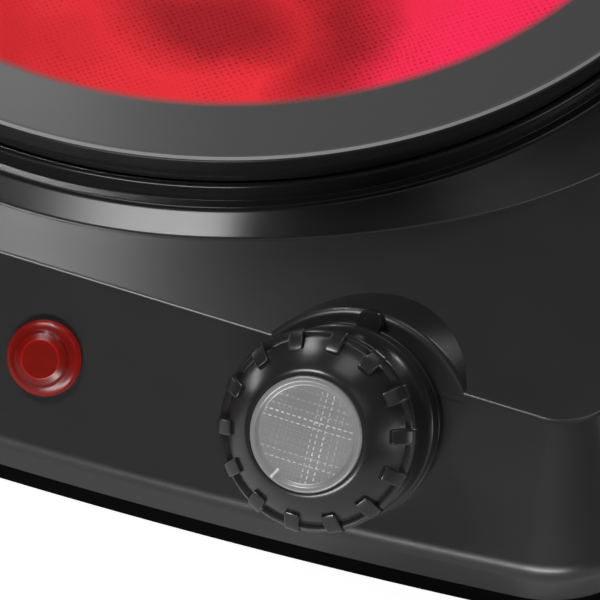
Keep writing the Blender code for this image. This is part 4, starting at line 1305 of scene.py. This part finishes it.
@dataclass
class Innards:
    """The heater, regulator, wiring and screws inside, which only need better finishes."""

    finishes: dict[str, Finish]

    def build(self, nodes: dict[str, bpy.types.Object], effects: EffectLibrary) -> None:
        """Puts a finish on every node of the frame that is still shown.

        Args:
            nodes: the frame's nodes by name.
            effects: the library of shared node groups.
        """
        made: dict[str, bpy.types.Material] = {}
        for name, node in sorted(nodes.items()):
            if node.hide_render:
                continue
            slot = self.slot_of(name)
            if slot not in made:
                made[slot] = self.finishes[slot].build(effects)
            for holder in node.material_slots:
                holder.material = made[slot]
            log.info("%s: finish %s", name, slot)

    @staticmethod
    def slot_of(name: str) -> str:
        """The finish for one inner node, by its name."""
        starts = {
            "glass_seal": "seal_grey", "heater_dish": "aluminised_steel", "heat_shield": "aluminised_steel",
            "insulation": "insulation", "heating_element": "element_alloy", "heater_terminal": "ceramic",
            "terminal_block": "ceramic", "thermal_cutout": "phenolic", "regulator_body": "phenolic",
            "pilot_holder": "phenolic", "gland_nut": "phenolic", "pilot_lamp": "lamp_glass",
            "live_lead": "lead_sleeve", "heater_lead": "lead_sleeve", "neutral_lead": "lead_sleeve",
            "pilot_lead": "lead_sleeve",
        }
        for start, slot in starts.items():
            if name.startswith(start):
                return slot
        return "steel"


# The edge value of a finish sets how strongly a painted highlight lightens its edges.
OUTER_FINISHES = (
    Finish("housing_gloss", (0.018, 0.018, 0.018), 0.30, edge_highlight=0.10),
    Finish("base_matt", (0.0012, 0.0012, 0.0012), 0.65, specular=0.02),
    Finish("foot_rubber", (0.020, 0.020, 0.020), 0.85, bump=0.15),
    Finish("screw_steel", (0.50, 0.50, 0.51), 0.35, metallic=1.0, edge_highlight=0.3),
    Finish("trim_gloss", (0.012, 0.012, 0.012), 0.20, edge_highlight=0.2, specular=0.3),
    Finish("knob_satin", (0.014, 0.014, 0.0145), 0.25, rough_spread=0.03, edge_highlight=0.3),
    Finish("gland_rubber", (0.018, 0.018, 0.018), 0.75, bump=0.12),
)


INNER_FINISHES = {
    finish.name: finish
    for finish in (
        Finish("seal_grey", (0.10, 0.10, 0.10), 0.75, bump=0.08),
        Finish("aluminised_steel", (0.66, 0.66, 0.67), 0.42, metallic=1.0, grain=500.0, bump=0.03),
        Finish("insulation", (0.78, 0.76, 0.72), 0.95, grain=1200.0, bump=0.35),
        Finish("element_alloy", (0.36, 0.14, 0.07), 0.55, metallic=1.0),
        Finish("ceramic", (0.80, 0.78, 0.72), 0.40, bump=0.03),
        Finish("phenolic", (0.050, 0.040, 0.035), 0.48, bump=0.05),
        Finish("lamp_glass", (0.75, 0.55, 0.45), 0.10, bump=0.0),
        Finish("lead_sleeve", (0.72, 0.71, 0.67), 0.75, grain=2200.0, bump=0.25),
        Finish("steel", (0.55, 0.55, 0.56), 0.33, metallic=1.0, grain=1500.0, bump=0.02),
    )
}


# Studio


@dataclass(frozen=True)
class Softbox:
    """One rectangular soft light: place, aimed point, width and height in metres, power in watts."""

    name: str
    place: Point
    aim: Point
    size: tuple[float, float]
    power: float
    shadow: bool = True


@dataclass
class Studio:
    """Camera, pale floor and soft lights."""

    aim: Point = (0.0356, -0.05569, -0.00251)
    back: Point = (0.2618, -0.6284, 0.7324)
    distance: float = 4.138
    lens: float = 1500.0
    floor_size: float = 80.0
    fill: float = 0.05
    floor_glow: float = 0.85
    middle: ClassVar[Point] = (0.04, -0.09, 0.04)
    lights: tuple[Softbox, ...] = (
        Softbox("top_left", (-0.336, -0.227, 0.733), middle, (0.16, 0.16), 1.4),
        Softbox("top_right", (0.416, -0.227, 0.733), middle, (0.40, 0.40), 0.25),
        Softbox("edge_light", (-0.140, -0.190, 0.640), (0.0, -0.10, 0.04), (0.08, 0.08), 1.20),
        Softbox("knob_light", (0.122, 0.273, 0.734), (0.066, -0.107, 0.032), (0.28, 0.28), 0.55),
        Softbox("low_front", (0.175, -0.876, 0.082), middle, (0.50, 0.12), 4.4),
        Softbox("low_right", (0.832, -0.090, 0.151), middle, (0.22, 0.22), 0.5),
        Softbox("deck_strip", (-0.0419, 0.0025, 0.1572), (0.0, -0.098, 0.04), (0.03, 0.06), 0.05, False),
        Softbox("low_rear", (0.150, 1.100, 0.100), (0.0, 0.1, 0.03), (0.50, 0.15), 1.8),
        Softbox("low_left", (-1.100, 0.300, 0.100), (-0.1, 0.0, 0.03), (0.50, 0.15), 1.5),
    )

    def camera(self) -> None:
        """Adds the camera, far away on a long lens."""
        back = Vector(self.back).normalized()
        data = bpy.data.cameras.new("camera")
        data.lens, data.sensor_width = self.lens, 36.0
        data.clip_start, data.clip_end = 0.1, 100.0
        camera = bpy.data.objects.new("camera", data)
        camera.location = Vector(self.aim) + back * self.distance
        camera.rotation_euler = (-back).to_track_quat("-Z", "Y").to_euler()
        bpy.context.scene.collection.objects.link(camera)
        bpy.context.scene.camera = camera

    def floor(self) -> None:
        """Adds the plain floor."""
        Bench.clear_selection()
        bpy.ops.mesh.primitive_plane_add(size=self.floor_size, location=(0.0, 0.0, 0.0))
        floor = bpy.context.object
        floor.name = "floor"
        material, graph, shader = plain_material("floor_paper")
        paper = graph.mix(graph.noise(graph.where(), 3.0), (0.86, 0.86, 0.86), (0.89, 0.89, 0.89))
        graph.feed(shader.inputs["Base Color"], paper)
        shader.inputs["Roughness"].default_value = 0.9
        shader.inputs["Specular IOR Level"].default_value = 0.1
        shader.inputs["Emission Color"].default_value = (1.0, 1.0, 1.0, 1.0)
        seen = graph.add("ShaderNodeLightPath").outputs["Is Camera Ray"]
        graph.feed(shader.inputs["Emission Strength"], graph.product(seen, self.floor_glow))
        floor.data.materials.append(material)

    def world(self) -> None:
        """A faint even surround that looks white where the camera sees it."""
        world = bpy.data.worlds.new("studio")
        world.use_nodes = True
        bpy.context.scene.world = world
        graph = Graph(world.node_tree)
        seen = graph.add("ShaderNodeLightPath").outputs["Is Camera Ray"]
        background = world.node_tree.nodes["Background"]
        background.inputs["Color"].default_value = (1.0, 1.0, 1.0, 1.0)
        graph.feed(background.inputs["Strength"], graph.spread(seen, self.fill, 1.0))

    def softbox(self, light: Softbox) -> None:
        """Adds one rectangular soft light."""
        data = bpy.data.lights.new(light.name, "AREA")
        data.shape, data.size, data.size_y, data.energy = "RECTANGLE", *light.size, light.power
        data.use_shadow = light.shadow
        data.cycles.use_multiple_importance_sampling = light.shadow
        lamp = bpy.data.objects.new(light.name, data)
        lamp.location = light.place
        lamp.rotation_euler = (Vector(light.aim) - Vector(light.place)).to_track_quat("-Z", "Y").to_euler()
        lamp.visible_camera = False
        bpy.context.scene.collection.objects.link(lamp)

    def build(self) -> None:
        """Sets up the whole studio."""
        self.camera()
        self.floor()
        self.world()
        for light in self.lights:
            self.softbox(light)
        settings = bpy.context.scene.view_settings
        settings.view_transform, settings.look = "Standard", "None"


def main() -> None:
    """Builds every piece round the frame, then the studio."""
    logging.basicConfig(level=logging.INFO, format="%(message)s")
    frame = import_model()
    effects = EffectLibrary()
    finishes = {finish.name: finish.build(effects) for finish in OUTER_FINISHES}
    housing = Housing()
    housing.build(finishes["housing_gloss"])
    tray = BaseTray()
    tray.build(finishes["base_matt"])
    tray.build_feet(finishes["foot_rubber"], finishes["screw_steel"])
    CookingTop().build(GlowingGlass().build(effects), finishes["trim_gloss"])
    knob_place = panel_place(*housing.knob_place)
    Knob(knob_place).build(finishes["knob_satin"], CrossHatchedCap(axis=knob_place).build(effects))
    fittings = PanelFittings(knob_place, panel_place(*housing.lamp_place))
    fittings.build_dial(finishes["knob_satin"])
    fittings.build_lens(PilotRed(place=fittings.lamp_place).build(effects))
    Inlet(housing.inlet_place()).build(finishes["gland_rubber"])
    Innards(INNER_FINISHES).build(frame["nodes"], effects)
    Studio().build()


if __name__ == "__main__":
    main()
